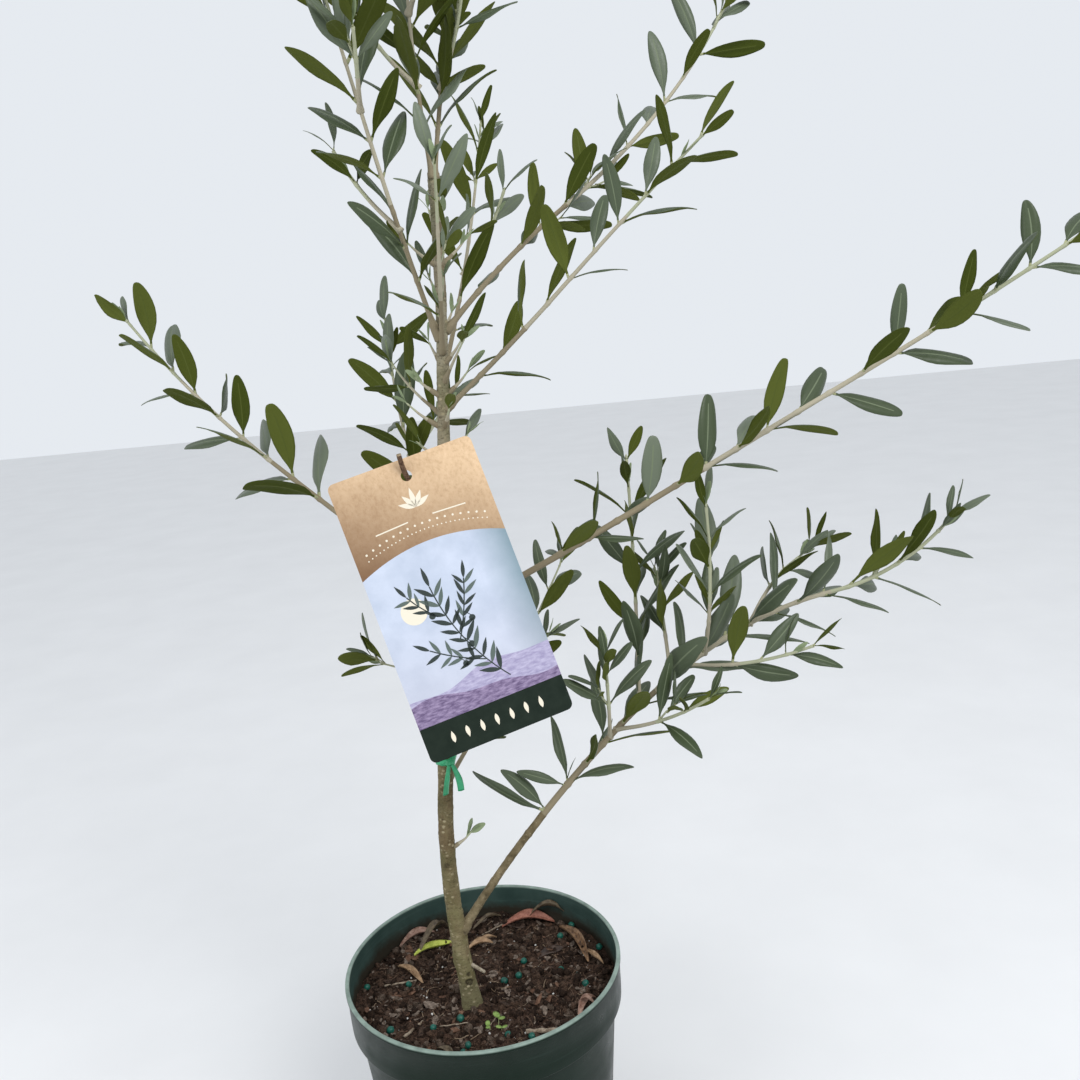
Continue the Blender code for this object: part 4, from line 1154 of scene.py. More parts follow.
def peat_material(name):
    """Crumbly peat: dark peat with painted shade in its hollows, brown crumbs and paler bits, in fine and
    coarse grain.
    """
    dark, light, scale = PEATS[name]
    nodes = Nodes(name)
    grain = nodes.noise(scale, 6.0, 0.7)
    bits = nodes.noise(scale * 2.4, 3.0, 0.6)
    coarse = nodes.range(nodes.noise(60, 4.0, 0.6), 0.4, 0.7, 0.0, 0.30)
    # Darkest where the grain, and so the relief, is lowest: dark peat with painted shade in the hollows.
    peat = nodes.mix(nodes.plus(nodes.range(grain, 0.38, 0.64, 0.0, 0.80), coarse), dark, light)
    pale = tuple(1.9 * value for value in light)
    peat = nodes.over(peat, pale, bits, 0.58, 0.66, 0.0, 0.75)
    return nodes.finish(peat, (grain, 0.82, 0.98), (nodes.plus(grain, bits, 0.5), 0.0020))


def feed_material():
    """The blue-green coating of plant feed, with paler specks."""
    nodes = Nodes("feed_coating", SATIN)
    grain = nodes.noise(900, 4.0, 0.6)
    coat = nodes.over((0.004, 0.060, 0.044), (0.012, 0.120, 0.088), nodes.noise(300, 3.0), 0.35, 0.65)
    coat = nodes.over(coat, (0.060, 0.085, 0.060), grain, 0.58, 0.72, 0.0, 0.45)
    return nodes.finish(coat, (grain, 0.28, 0.50), (grain, 0.00015))


def kraft_material():
    """Brown card: short fibres, darker flecks and painted shade, a soft darkening towards its lower left."""
    nodes = Nodes("kraft_card")
    clouds = nodes.noise(40, 5.0, 0.65)
    fibres = nodes.noise(620, 5.0, 0.75, nodes.scaled(1.0, 0.7, 1.0))
    shade_slope = nodes.plus(nodes.plus(nodes.axis("Y"), nodes.axis("X"), 0.42), clouds, 0.012)
    card = nodes.over((0.585, 0.400, 0.236), (0.700, 0.495, 0.305), clouds, 0.35, 0.65)
    card = nodes.over(card, (0.800, 0.600, 0.400), fibres, 0.40, 0.68, 0.0, 0.55)
    card = nodes.over(card, (0.400, 0.265, 0.155), fibres, 0.30, 0.46, 0.35, 0.0)
    card = nodes.over(card, (0.300, 0.185, 0.100), nodes.cells(620), 0.05, 0.13, 0.40, 0.0)
    # Painted shade: the card darkens towards its lower left along this slope.
    low, high = TAG_ARCH_FOOT - 0.006, TAG_HOLE_DROP + 0.010
    card = nodes.over(card, (0.180, 0.098, 0.052), shade_slope, low, high, 0.95, 0.0)
    return nodes.finish(card, (fibres, 0.55, 0.75), (fibres, 0.00008))


def sky_ink():
    """A pale clouded sky, deeper at its right edge and warmer low down."""
    nodes = Nodes("ink_sky")
    clouds = nodes.noise(45, 5.0, 0.6)
    sky = nodes.over((0.450, 0.505, 0.610), (0.560, 0.610, 0.720), clouds, 0.35, 0.65)
    sky = nodes.over(sky, (0.110, 0.200, 0.225), nodes.axis("X"), TAG_MIDDLE + 0.018, TAG_RIGHT, 0.0, 0.75)
    sky = nodes.over(sky, (0.520, 0.510, 0.580), nodes.axis("Y"), -0.060, -0.100, 0.0, 0.45)
    return nodes.finish(sky, (clouds, 0.34, 0.46))


def print_materials():
    """The inks in slots: cream, sky, foot band, far hills, near hills, cream, sprig and its light leaves."""
    nodes = Nodes("ink_band")
    clouds = nodes.noise(150, 4.0, 0.6)
    green = nodes.over((0.0100, 0.0172, 0.0118), (0.0148, 0.0234, 0.0164), clouds, 0.35, 0.65)
    band = nodes.finish(green, (clouds, 0.30, 0.44))
    far, near = mottled("ink_far_hills", "ink_near_hills", stretch=(1, 3.2, 1))
    cream = plain_material("ink_cream", (0.760, 0.700, 0.570), (0.40, 0.55), 900, 0.00002)
    sprig = plain_material("ink_sprig", (0.040, 0.052, 0.048), (0.34, 0.46), 900, 0.00002)
    light = plain_material("ink_sprig_light", (0.105, 0.135, 0.120), (0.34, 0.46), 900, 0.00002)
    return [cream, sky_ink(), band, far, near, cream, sprig, light]


def tie_material():
    """Soft green tape with pale flecks, partly painted highlight and partly paler stretched tape."""
    nodes = Nodes("tie_plastic", GLOSSY)
    grain = nodes.noise(500, 4.0, 0.6)
    folds = nodes.noise(160, 3.0, 0.6, nodes.scaled(1, 1, 0.3))
    tape = nodes.over((0.012, 0.230, 0.090), (0.040, 0.420, 0.190), folds, 0.35, 0.65)
    # Pale flecks in the colour of a highlight: partly painted highlight, partly stretched tape.
    tape = nodes.over(tape, (0.150, 0.560, 0.320), grain, 0.50, 0.75, 0.0, 0.25)
    return nodes.finish(tape, (grain, 0.26, 0.42), (nodes.plus(folds, grain), 0.00018))


def floor_material():
    nodes = Nodes("floor_paper")
    return nodes.finish(nodes.over((0.77, 0.77, 0.77), (0.80, 0.80, 0.80), nodes.noise(9, 3.0), 0.3, 0.7))


# ---------------------------------------------------------------- growth


def section_tree(points, radii):
    """A stem as the three-sided tube that the model's source gives it."""
    tube = Surface()
    add_tube(tube, points, radii, 3)
    return BVHTree.FromPolygons([Vector(point) for point in tube.points[0]], tube.faces)


@dataclass
class Stem:
    """A leafy stem: its course, radii and collar, and the (distance, matrix) of each leaf on it."""

    name: str
    points: list
    foot_radius: float
    tip_radius: float
    leaf: float
    bare: float
    collar: float
    leaves: list

    def radius_at(self, distance):
        return blend((self.foot_radius, self.tip_radius), min(distance / length_of(self.points), 1))


class Mass:
    """One mass of foliage: its stems, and then the leaves that find room on them."""

    def __init__(self, shoot, points, start_length, space):
        self.name = shoot.name + "_foliage"
        self.shoot = shoot
        self.space = space
        self.stems = []
        foot_radius = tapered(shoot.radius, start_length + length_of(points), start_length)
        self.add_stem(self.name, points, foot_radius, shoot.radius * TIP_TAPER, shoot.leaf)
        for index, twig in enumerate(list(shoot.twigs) + seeded_side_twigs(shoot, points)):
            foot = along(points, twig.at - start_length)[0]
            reach = course(foot, twig.azimuths, twig.rises, twig.length)
            name = f"{self.name}_twig_{index + 1}"
            self.add_stem(name, reach, TWIG_RADIUS, TWIG_RADIUS * TWIG_TAPER, shoot.leaf * TWIG_LEAF)

    def add_stem(self, name, points, foot_radius, tip_radius, leaf):
        bare = TWIG_BARE if self.stems else STEM_BARE
        collar = 0.0 if self.shoot.bare and not self.stems else COLLAR_SWELL
        stem = Stem(name, points, foot_radius, tip_radius, leaf, bare, collar, [])
        radii = [stem.radius_at(length_of(points[: index + 1])) for index in range(len(points))]
        tree = section_tree(points, radii)
        if self.stems and not self.space.takes_twig(self.name, tree):
            return
        self.space.twigs.append((self.name, tree))
        self.stems.append(stem)

    def grow_leaves(self):
        spacing = self.shoot.spacing
        for stem in self.stems:
            stations = leaf_stations(length_of(stem.points), spacing, stem.bare)
            draws = leaf_draws(stem.name, stem.points, spacing, stem.bare, stem.leaf)
            for index, tries in enumerate(draws):
                for matrix in tries:
                    if self.takes(matrix):
                        stem.leaves.append((stations[index // 2], matrix))
                        break

    def takes(self, matrix):
        """Whether there is room for this leaf. If so, it takes it."""
        if not self.space.takes_leaf(self.name, matrix):
            return False
        self.space.add_leaf(self.name, matrix)
        return True


def node_tree(name):
    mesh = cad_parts[name].data
    points = [vert.co.copy() for vert in mesh.vertices]
    return BVHTree.FromPolygons(points, [tuple(face.vertices) for face in mesh.polygons])


def grow(trunk):
    """(masses, boughs): every mass of foliage, and the course of each bough with its shoot."""
    space = Space()
    for name in ("trunk", "tag_twig", "hang_tag", "garden_tie"):
        space.limbs.append(node_tree(name))
    masses = []
    boughs = []
    for shoot in SHOOTS + LEADERS + spur_shoots():
        points = (leader_points if shoot in LEADERS else limb_points)(shoot, trunk)
        if shoot.bare:
            bough_points, points = split(points, shoot.bare)
            boughs.append((shoot, bough_points))
            space.limbs.append(node_tree(shoot.name + "_bough"))
            points[0] = points[0] + (points[1] - points[0]).normalized() * GAP
        masses.append(Mass(shoot, points, shoot.bare, space))
    for mass in masses:
        mass.grow_leaves()
    return masses, boughs


# ---------------------------------------------------------------- leaves and stems as pieces


def place(piece, slot, *nodes):
    """Fixes a piece to the plant's one body and hides the CAD nodes that it stands for. Its slot is not used.
    """
    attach(piece, "root")
    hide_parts(*nodes)


def foot_into(points, depth):
    """The course with one more point, sunk this deep into what carries it."""
    ahead = (points[1] - points[0]).normalized()
    return [points[0] - ahead * depth] + list(points)


def forked(points, shoot):
    """(course, depth): a shoot's course run straight back into the trunk, past its square foot."""
    depth = trunk_radius(shoot.height) / math.cos(math.radians(shoot.rises[0]))
    return foot_into(points[1:], depth), depth


def rooted(mass, stem):
    """(course, depth): a stem's course with its foot in what carries it, and how deep that is."""
    depth = STEM_SINK
    if stem is mass.stems[0] and mass.shoot in LEADERS:
        depth = TRUNK_FORK_RADIUS
    elif stem is mass.stems[0] and not mass.shoot.bare:
        return forked(stem.points, mass.shoot)
    return foot_into(stem.points, depth), depth


def add_stem(surface, stem, course_points, depth, spacing):
    """A round stem with swollen nodes, a collar at its foot and a bud at its tip."""
    stations = [depth + at for at in leaf_stations(length_of(stem.points), spacing, stem.bare)]
    curve = smooth_course(course_points, STEM_STEP)
    whole = length_of(curve)
    woody, pale, slender = TWIG_AGES if "_twig_" in stem.name else STEM_AGES
    radii, slots = [], []
    for done in spaced(curve):
        from_node = min(abs(done - station) for station in stations)
        past_foot = max(done - depth, 0)
        swell = 1 + (NODE_SWELL - 1) * math.exp(-((from_node / NODE_REACH) ** 2))
        collar = 1 + stem.collar * math.exp(-past_foot / COLLAR_REACH)
        radii.append(stem.radius_at(past_foot) * slender * swell * collar)
        share = done / whole
        slots.append(0 if share < woody else 1 if share < pale else 2)
    add_tube(surface, curve, radii, STEM_SIDES, slots)
    tip, ahead = along(curve, whole)
    bud = [tip + ahead * BUD_LENGTH * share for share, _ in BUD_SHAPE]
    add_tube(surface, bud, [stem.tip_radius * width for _, width in BUD_SHAPE], STEM_SIDES, 2)


def within_box(matrix):
    """Whether a leaf's tip stays in the model's box."""
    tip = np.array(matrix @ Vector((0, 0, 1)))
    return bool(np.all(tip >= BOX_LOW) and np.all(tip <= BOX_HIGH))


def add_side_leaves(mass, leaves, base, away, turn, tip, dice, upper):
    """A pair of small leaves, where there is room. They lie closer at a side shoot's tip."""
    size = dice.uniform(*SIDE_LEAF_LENGTHS) * (SIDE_TIP_LEAF_SIZE if tip else 1.0)
    for hand in (0, 1):
        for _ in range(SIDE_LEAF_TRIES):
            side = square_to(away, turn + hand * math.pi + dice.uniform(-0.3, 0.3))
            angle = math.radians(dice.uniform(*(TIP_LEAF_ANGLES if tip else LEAF_ANGLES)))
            leaf = leaf_matrix(base, away, side, angle, dice.uniform(-0.6, 0.6), size)
            if within_box(leaf) and mass.takes(leaf):
                add_leaf(leaves, leaf, leaf_slots(dice, upper), dice, SMALL_LEAF_SHARES)
                break


def add_side_shoots(mass, stem, leaves, stems, upper):
    """Short shoots in some leaves' axils, each with two pairs of small leaves."""
    dice = random.Random(stem.name + " side shoots")
    share_here = habit_of(mass.shoot).side_shoots
    for station, matrix in stem.leaves:
        if dice.random() > share_here:
            continue
        foot, ahead = along(stem.points, station)
        out = Vector(matrix.col[2][:3]).normalized()
        away = (ahead * 0.9 + out).normalized()
        length = dice.uniform(*SIDE_SHOOT_LENGTHS)
        points = [foot, foot + away * length * 0.55, foot + (away + ahead * 0.25).normalized() * length]
        add_tube(stems, points, [stem.tip_radius * share for share in SIDE_SHOOT_TAPER], SIDE_SHOOT_SIDES, 2)
        turn = dice.uniform(0, math.pi)
        for pair, share in enumerate(SIDE_LEAF_PLACES):
            base = foot.lerp(points[-1], share)
            add_side_leaves(mass, leaves, base, away, turn + pair * math.pi / 2, share == 1, dice, upper)


def add_bud_leaves(stem, leaves, dice, upper):
    """Two small unfolding leaves at a stem's tip."""
    tip, ahead = along(stem.points, length_of(stem.points))
    turn = dice.uniform(0, math.pi)
    for hand in (0, 1):
        side = square_to(ahead, turn + hand * math.pi)
        angle = math.radians(dice.uniform(*BUD_LEAF_ANGLES))
        leaf = leaf_matrix(tip, ahead, side, angle, dice.uniform(-0.3, 0.3), dice.uniform(*BUD_LEAF_LENGTHS))
        add_leaf(leaves, leaf, leaf_slots(dice, upper, young=True), dice, SMALL_LEAF_SHARES)


def faced(matrix, upper):
    """The leaf turned about its own length until its upper face looks this way."""
    reach = Vector(matrix.col[2][:3]).normalized()
    upper = (upper - reach * upper.dot(reach)).normalized()
    turn = Matrix((upper.cross(reach), upper, reach)).transposed().to_4x4()
    return Matrix.Translation(matrix.translation) @ turn @ Matrix.Scale(matrix.median_scale, 4)


def habit_of(shoot):
    kind = "trunk_spur" if shoot.name.startswith("trunk_spur") else shoot.name
    return HABITS.get(kind, Habit())


def standing_leaves(mass, stem):
    """The leaves that a stem still has, some of them turned to the front or grown larger."""
    habit = habit_of(mass.shoot)
    shown_share = habit.lower_shown + habit.upper_shown
    dice = random.Random(stem.name + " fallen")
    reach = length_of(stem.points)
    for station, matrix in stem.leaves:
        aim = Vector(matrix.col[2][:3]).normalized()
        fallen = dice.random() < habit.fallen
        forward = shown_share > 0 and aim.y < -FALLEN_FORWARD
        shown, lit = dice.random(), dice.random() < LIT_SHARE
        inner = reach - station > TIP_KEEPS or not habit.keeps_tip
        if (fallen or forward) and inner:
            continue
        if inner:
            matrix = matrix @ Matrix.Scale(habit.growth, 4)
        if aim.z > FACED_RISE and shown < shown_share:
            matrix = faced(matrix, Vector((0, 1 if shown < habit.lower_shown else -1, 0)))
        elif lit and matrix.col[1][2] < 0:
            matrix = matrix @ Matrix.Rotation(math.pi, 4, "Z")
        yield matrix
    if stem.name == "low_right_foliage":
        for at, azimuth, rise, roll, length in FOOT_LEAVES:
            aim = heading((azimuth, azimuth), (rise, rise), 0)
            leaf = leaf_matrix(along(stem.points, at)[0], aim, square_to(aim, 0), 0, roll, length)
            if mass.takes(leaf):
                yield leaf


def make_foliage(masses):
    """All leaves and stems, joined by the height of the mass that they belong to."""
    leaf_colours = [plain_material(*looks) for looks in UPPER_LEAVES + BACKLIT_LOWER_LEAVES + LEAF_DETAILS]
    stem_colours = [plain_material(*looks) for looks in STEMS]
    for layer, (low, high) in FOLIAGE_LAYERS.items():
        layer_masses = [mass for mass in masses if low <= mass.shoot.height < high]
        leaves, stems = Surface(), Surface()
        for mass in layer_masses:
            habit = habit_of(mass.shoot)
            young = mass.shoot.name == "sprout"
            for stem in mass.stems:
                dice = random.Random(stem.name + " looks")
                upper = dice.randrange(len(UPPER_LEAVES))
                add_stem(stems, stem, *rooted(mass, stem), mass.shoot.spacing)
                for matrix in standing_leaves(mass, stem):
                    slots = leaf_slots(dice, upper, dice.random() < DRY_SHARE, young)
                    add_leaf(leaves, matrix, slots, dice, LEAF_SHARES, habit.breadth, habit.point)
                add_bud_leaves(stem, leaves, dice, upper)
                add_side_shoots(mass, stem, leaves, stems, upper)
        nodes = [mass.name for mass in layer_masses]
        place(leaves.make(f"leaves_{layer}", leaf_colours), "foliage", *nodes)
        place(stems.make(f"twigs_{layer}", stem_colours), "foliage", *nodes)


# ---------------------------------------------------------------- trunk and boughs


def grain(place, fineness, height):
    """Smooth noise of about this height. It gets finer as the fineness grows."""
    return noise.noise(place * fineness) * height


def bumps_at(bumps, azimuth, done):
    """The height of bumps at this place. Each is (azimuth, distance, height, radius, spread round it)."""
    height = 0.0
    for bump_azimuth, at, rise, radius, around in bumps:
        away = (done - at) / radius
        if abs(away) > 3:
            continue
        apart = (azimuth - bump_azimuth + math.pi) % (2 * math.pi) - math.pi
        height += rise * math.exp(-away * away - (apart / around) ** 2)
    return height


def trunk_bumps():
    """Swellings under each shoot, the knots near the foot, and pores all the way up."""
    bumps = []
    rise, radius, around = SWELLING
    for shoot in SHOOTS + spur_shoots() + (TAG_TWIG,):
        azimuth = math.radians(shoot.azimuths[0])
        wide = shoot.radius / SWOLLEN_SHOOT
        climb = trunk_radius(shoot.height) * math.tan(math.radians(shoot.rises[0]))
        bumps.append((azimuth, shoot.height + climb * 0.6, rise * wide, radius * wide, around))
    bumps += [(math.radians(azimuth), *knot) for azimuth, *knot in KNOTS]
    dice = random.Random("pores")
    for _ in range(PORE_COUNT):
        at = dice.uniform(0.004, TRUNK_HEIGHT)
        size = dice.uniform(*PORE_SIZES)
        bumps.append((dice.uniform(-math.pi, math.pi), at, size * 0.26, size, size / 0.0042 * 1.3))
    return bumps


def make_trunk(trunk):
    """The trunk: a lobed flare at the soil, level wrinkles, knots, pores and a rounded top."""
    curve = smooth_course([trunk[0] - Vector((0, 0, TRUNK_BURIED))] + trunk, BARK_STEP)
    radii = [trunk_radius(max(done - TRUNK_BURIED, -0.001)) for done in spaced(curve)]
    for index, share in enumerate(TRUNK_TOP, -len(TRUNK_TOP)):
        radii[index] *= share
    large = []
    shelves = {}
    for bump in trunk_bumps():
        if bump[3] > SMALL_BUMP:
            large.append(bump)
        else:
            shelves.setdefault(int(bump[1] / BUMP_SHELF), []).append(bump)

    def relief(place, azimuth, done):
        height = done - TRUNK_BURIED
        lobes = math.cos(3 * azimuth + 0.8) + 0.4 * math.cos(5 * azimuth - 1.1)
        flare = (LOBE_RISE * lobes - FLARE_SLIMMING) * math.exp(-max(height, 0) / LOBE_FADE)
        wrinkles = grain(Vector((place.x * 220, place.y * 220, place.z * 600)), 1, 0.00014)
        shelf = int(height / BUMP_SHELF)
        near = [bump for key in (shelf - 1, shelf, shelf + 1) for bump in shelves.get(key, ())]
        plain = flare + grain(place, 90, 0.00030) + wrinkles + grain(place, 900, 0.00007)
        return plain + bumps_at(large, azimuth, height) + bumps_at(near, azimuth, height)

    surface = Surface()
    add_tube(surface, curve, radii, BARK_SIDES, 0, relief)
    for height, azimuth, rises, length, radius, slot in STUBS:
        start = along(trunk, height)[0]
        reach = smooth_course(course(start, (azimuth, azimuth), rises, length, length / 3), STUB_STEP)
        stub_radii = [radius * blend(STUB_TAPER, index / len(reach)) for index in range(len(reach))]
        stub_radii[-1] *= CUT_ROUNDING
        add_tube(surface, reach, stub_radii, STUB_SIDES, slot, lambda place, *_: grain(place, 900, 0.00022))
    place(surface.make("trunk_bark", [bark_material(trunk), *mottled("stub_wood")]), "bark", "trunk")


def leaf_scars(name, first, last):
    """Pairs of seeded bumps along a bough, each pair at a right angle to the last."""
    dice = random.Random(name + " scars")
    scars = []
    at = first
    turn = dice.uniform(0, math.pi)
    while at < last:
        scars += [(turn + hand * math.pi, at, *SCAR_BUMP) for hand in (0, 1)]
        turn += math.pi / 2
        at += dice.uniform(*SCAR_SPACINGS)
    return scars


def make_boughs(boughs):
    """Each bough as a tapering limb of young bark, with a collar on the trunk and old leaf scars."""
    young = bough_material()
    for shoot, points in boughs:
        reach, depth = forked(points, shoot)
        curve = smooth_course(reach, BARK_STEP)
        scars = leaf_scars(shoot.name, depth + 0.010, length_of(curve))
        radii = []
        for at in spaced(curve):
            done = at - depth
            collar = 1 + BOUGH_COLLAR * math.exp(-max(done + depth * 0.4, 0) / (COLLAR_REACH * 1.5))
            radii.append(tapered(shoot.radius, shoot.length, max(done, 0)) * BOUGH_SLENDER * collar)

        def relief(place, azimuth, done):
            return grain(place, 220, 0.00016) + grain(place, 800, 0.00006) + bumps_at(scars, azimuth, done)

        surface = Surface()
        add_tube(surface, curve, radii, BOUGH_SIDES, 0, relief)
        place(surface.make(f"{shoot.name}_bark", [young]), "young_bark", shoot.name + "_bough")


def make_tag_twig(trunk):
    """The pruned twig that carries the tag: rough brown wood with a pale cut end."""
    points = limb_points(TAG_TWIG, trunk, TAG_TWIG_STEP)
    curve = smooth_course(foot_into(points, trunk_radius(TAG_TWIG.height)), TAG_TWIG_BARK_STEP)
    whole = length_of(curve)
    radii = []
    for done in spaced(curve):
        collar = 1 + COLLAR_SWELL * math.exp(-done / COLLAR_REACH)
        radii.append(tapered(TAG_TWIG.radius, whole, done, 0.8) * collar)
    radii[-1] *= 0.78

    def relief(place, azimuth, done):
        ridges = grain(Vector((math.cos(azimuth) * 3, math.sin(azimuth) * 3, done * 160)), 1, 0.00018)
        return ridges + grain(place, 1300, 0.00009)

    surface = Surface()
    add_tube(surface, curve, radii, TAG_TWIG_SIDES, 0, relief)
    corners = [Vector(surface.points[0][face[0]]) for face in surface.faces[:-2]]
    surface.slots = [int((corner - curve[-1]).length < CUT_END) for corner in corners] + [0, 0]
    place(surface.make("tag_twig_wood", mottled("dead_wood", "cut_wood")), "bark", "tag_twig")


# ---------------------------------------------------------------- pot and soil


def body_radius(height):
    """Outer radius of the pot's tapering body below its collar."""
    share = height / COLLAR_FOOT
    return BASE_RADIUS + (RIM_RADIUS - COLLAR_TAPER - COLLAR_STEP - BASE_RADIUS) * share


def pot_profile():
    """(points, slots): the pot's section, from the middle of its floor up the inside and down again."""
    floor_edge = body_radius(POT_FLOOR) - POT_WALL
    inside = [(0.0, POT_FLOOR), (floor_edge * 0.5, POT_FLOOR)]
    inside += arc((floor_edge - 0.003, POT_FLOOR + 0.003), 0.003, -90, -6, 5)
    inside += [(body_radius(height) - POT_WALL, height) for height in (0.035, 0.070, STEP_FOOT - 0.002)]
    inside += [(RIM_RADIUS - COLLAR_TAPER - POT_WALL, COLLAR_FOOT + POT_WALL)]
    inside += [(RIM_RADIUS - COLLAR_TAPER / 2 - POT_WALL, POT_HEIGHT - 0.008)]
    lip_inner = RIM_RADIUS - LIP_PROUD - POT_WALL
    lip = arc((lip_inner + 0.0006, POT_HEIGHT - 0.0006), 0.0006, 180, 90, 5)
    lip += arc((RIM_RADIUS - 0.0008, POT_HEIGHT - 0.0008), 0.0008, 90, 0, 6)
    lip += arc((RIM_RADIUS - 0.0005, POT_HEIGHT - LIP_HEIGHT + 0.0004), 0.0005, 0, -90, 4)
    outside = [(RIM_RADIUS - LIP_PROUD, POT_HEIGHT - LIP_HEIGHT - 0.0003)]
    outside += [(RIM_RADIUS - COLLAR_TAPER * 0.8, COLLAR_FOOT + 0.006)]
    outside += arc((RIM_RADIUS - COLLAR_TAPER - 0.0009, COLLAR_FOOT + 0.0009), 0.0009, 0, -78, 5)
    outside += arc((body_radius(STEP_FOOT) + 0.0007, STEP_FOOT - 0.0002), 0.0007, 110, 180, 4)
    outside += [(body_radius(height), height) for height in (0.095, 0.070, 0.045, 0.020, 0.005)]
    outside += arc((BASE_RADIUS - 0.0026, 0.0030), 0.0030, -4, -90, 6)
    underside = [(BASE_RADIUS - 0.0085, 0.0), (BASE_RADIUS - 0.0093, 0.0007), (0.009, 0.0007)]
    underside += [(0.0082, 0.0002), (0.0, 0.0002)]
    points = inside + lip + outside + underside
    return points, [1] * len(inside) + [0] * (len(points) - len(inside) - 1)


def pot_ring(radius, height):
    """The pot's wall at one height, a little out of round. A radius of 0 gives a pole."""
    ring = []
    for turn in turns_round(POT_SEGMENTS if radius else 1):
        cos, sin = math.cos(turn), math.sin(turn)
        bend = 0.5 + 0.5 * noise.noise(Vector((cos, sin, height * 12)) * 1.6)
        wobble = POT_WOBBLE * (height / POT_HEIGHT) * bend if height > 0.004 else 0.0
        ring.append(((radius - wobble) * cos, (radius - wobble) * sin, height))
    return ring


def make_pot():
    """The round pot: a band under its lip, a step, a tapering body and drain holes in its floor."""
    profile, slots = pot_profile()
    body = Surface()
    body.add_rings([pot_ring(*point) for point in reversed(profile)], slots[::-1])
    pot = body.make("pot_shell", [pot_material(), pot_inside_material()])
    drills = Surface()
    for index in range(DRAIN_COUNT):
        angle = 2 * math.pi * (index + 0.5) / DRAIN_COUNT
        x, y = DRAIN_RING * math.cos(angle), DRAIN_RING * math.sin(angle)
        line = [Vector((x, y, height)) for height, _ in DRILL]
        add_tube(drills, line, [DRAIN_RADIUS * width for _, width in DRILL], 24)
    cutter = drills.make("drain_cutter", [])
    holes = pot.modifiers.new("drain_holes", "BOOLEAN")
    holes.object = cutter
    holes.solver = "EXACT"
    graph = bpy.context.evaluated_depsgraph_get()
    cut = bpy.data.meshes.new_from_object(pot.evaluated_get(graph))
    pot.modifiers.clear()
    pot.data = cut
    bpy.data.objects.remove(cutter)
    place(pot, "pot_plastic", "pot")


def from_trunk(x, y):
    return math.hypot(x - TRUNK_FOOT.x, y - TRUNK_FOOT.y)


def soil_height(x, y):
    """The top of the soil: clods, lumps and crumbs, with a slight mound at the trunk."""
    at = Vector((x, y, 0.0))
    clods = grain(at, 75, 0.0024) + grain(at, 190, 0.0016)
    lumps = (0.5 - noise.voronoi(at * 300)[0][0]) * 0.0016 + (0.5 - noise.voronoi(at * 640)[0][0]) * 0.0010
    mound = 0.0014 * math.exp(-((from_trunk(x, y) / 0.013) ** 2))
    return SOIL_TOP - 0.0009 + clods + lumps + grain(at, 1300, 0.0004) + mound


def make_soil():
    """The soil that fills the pot, as a closed body from the pot's floor up."""
    wall = POT_WALL + GAP
    outer = RIM_RADIUS - COLLAR_TAPER - wall
    floor = POT_FLOOR + GAP
    levels = [(body_radius(POT_FLOOR) - wall, floor), (body_radius(STEP_FOOT) - wall, STEP_FOOT)]
    levels += [(outer, COLLAR_FOOT + POT_WALL)]
    rings = [[(0.0, 0.0, floor)]]
    rings += [[(x, y, height) for x, y in circle(radius, SOIL_SEGMENTS)] for radius, height in levels]
    for index in range(SOIL_RINGS, 0, -1):
        radius = outer * math.sqrt(index / SOIL_RINGS)
        rings.append([(x, y, soil_height(x, y)) for x, y in circle(radius, SOIL_SEGMENTS)])
    rings.append([(0.0, 0.0, soil_height(0, 0))])
    surface = Surface()
    surface.add_rings(rings)
    place(surface.make("soil_fill", [peat_material("peat")]), "potting_soil", "soil")


# ---------------------------------------------------------------- what lies on the soil


def on_soil(x, y, lift=0.0):
    return Vector((x, y, soil_height(x, y) + lift))


def at_soil(x, y, lift=0.0):
    """The place on top of the soil here. x and y are in millimetres."""
    return on_soil(x / 1000, y / 1000, lift)


def soil_spots(dice, count, outer):
    """Seeded places on the soil, clear of the trunk."""
    made = 0
    while made < count:
        turn = dice.uniform(0, 2 * math.pi)
        radius = math.sqrt(dice.uniform(0.0, outer * outer))
        x, y = radius * math.cos(turn), radius * math.sin(turn)
        if from_trunk(x, y) >= TRUNK_ROOM:
            made += 1
            yield x, y


def add_lump(surface, spot, radius, sizes, roughness, dice, slot, detail):
    """An irregular lump, turned any way."""
    shape = bmesh.new()
    bmesh.ops.create_icosphere(shape, subdivisions=detail, radius=1.0)
    seed = Vector([dice.uniform(0, 50) for _ in range(3)])
    points = []
    for vert in shape.verts:
        push = 1 + roughness * noise.noise(vert.co * 1.7 + seed)
        push += roughness * 0.5 * noise.noise(vert.co * 4 + seed)
        points.append(Vector([part * size for part, size in zip(vert.co * push * radius, sizes)]))
    faces = [tuple(vert.index for vert in face.verts) for face in shape.faces]
    shape.free()
    leans = [dice.uniform(-math.pi, math.pi) for _ in range(2)]
    turn = Euler([*leans, dice.uniform(0, 6.3)]).to_matrix()
    surface.add([spot + turn @ point for point in points], faces, slot)


def mostly_small(dice, smallest, span, rarity):
    return smallest + span * dice.random() ** rarity


def add_crumb(surface, x, y, dice):
    radius = mostly_small(dice, *CRUMB_RADII)
    sizes = [dice.uniform(0.7, 1.3) for _ in range(3)]
    slot = dice.choice(BIT_SLOTS)
    detail = 1 if radius < 0.001 else 2
    add_lump(surface, on_soil(x, y, radius * 0.35), radius, sizes, 0.55, dice, slot, detail)


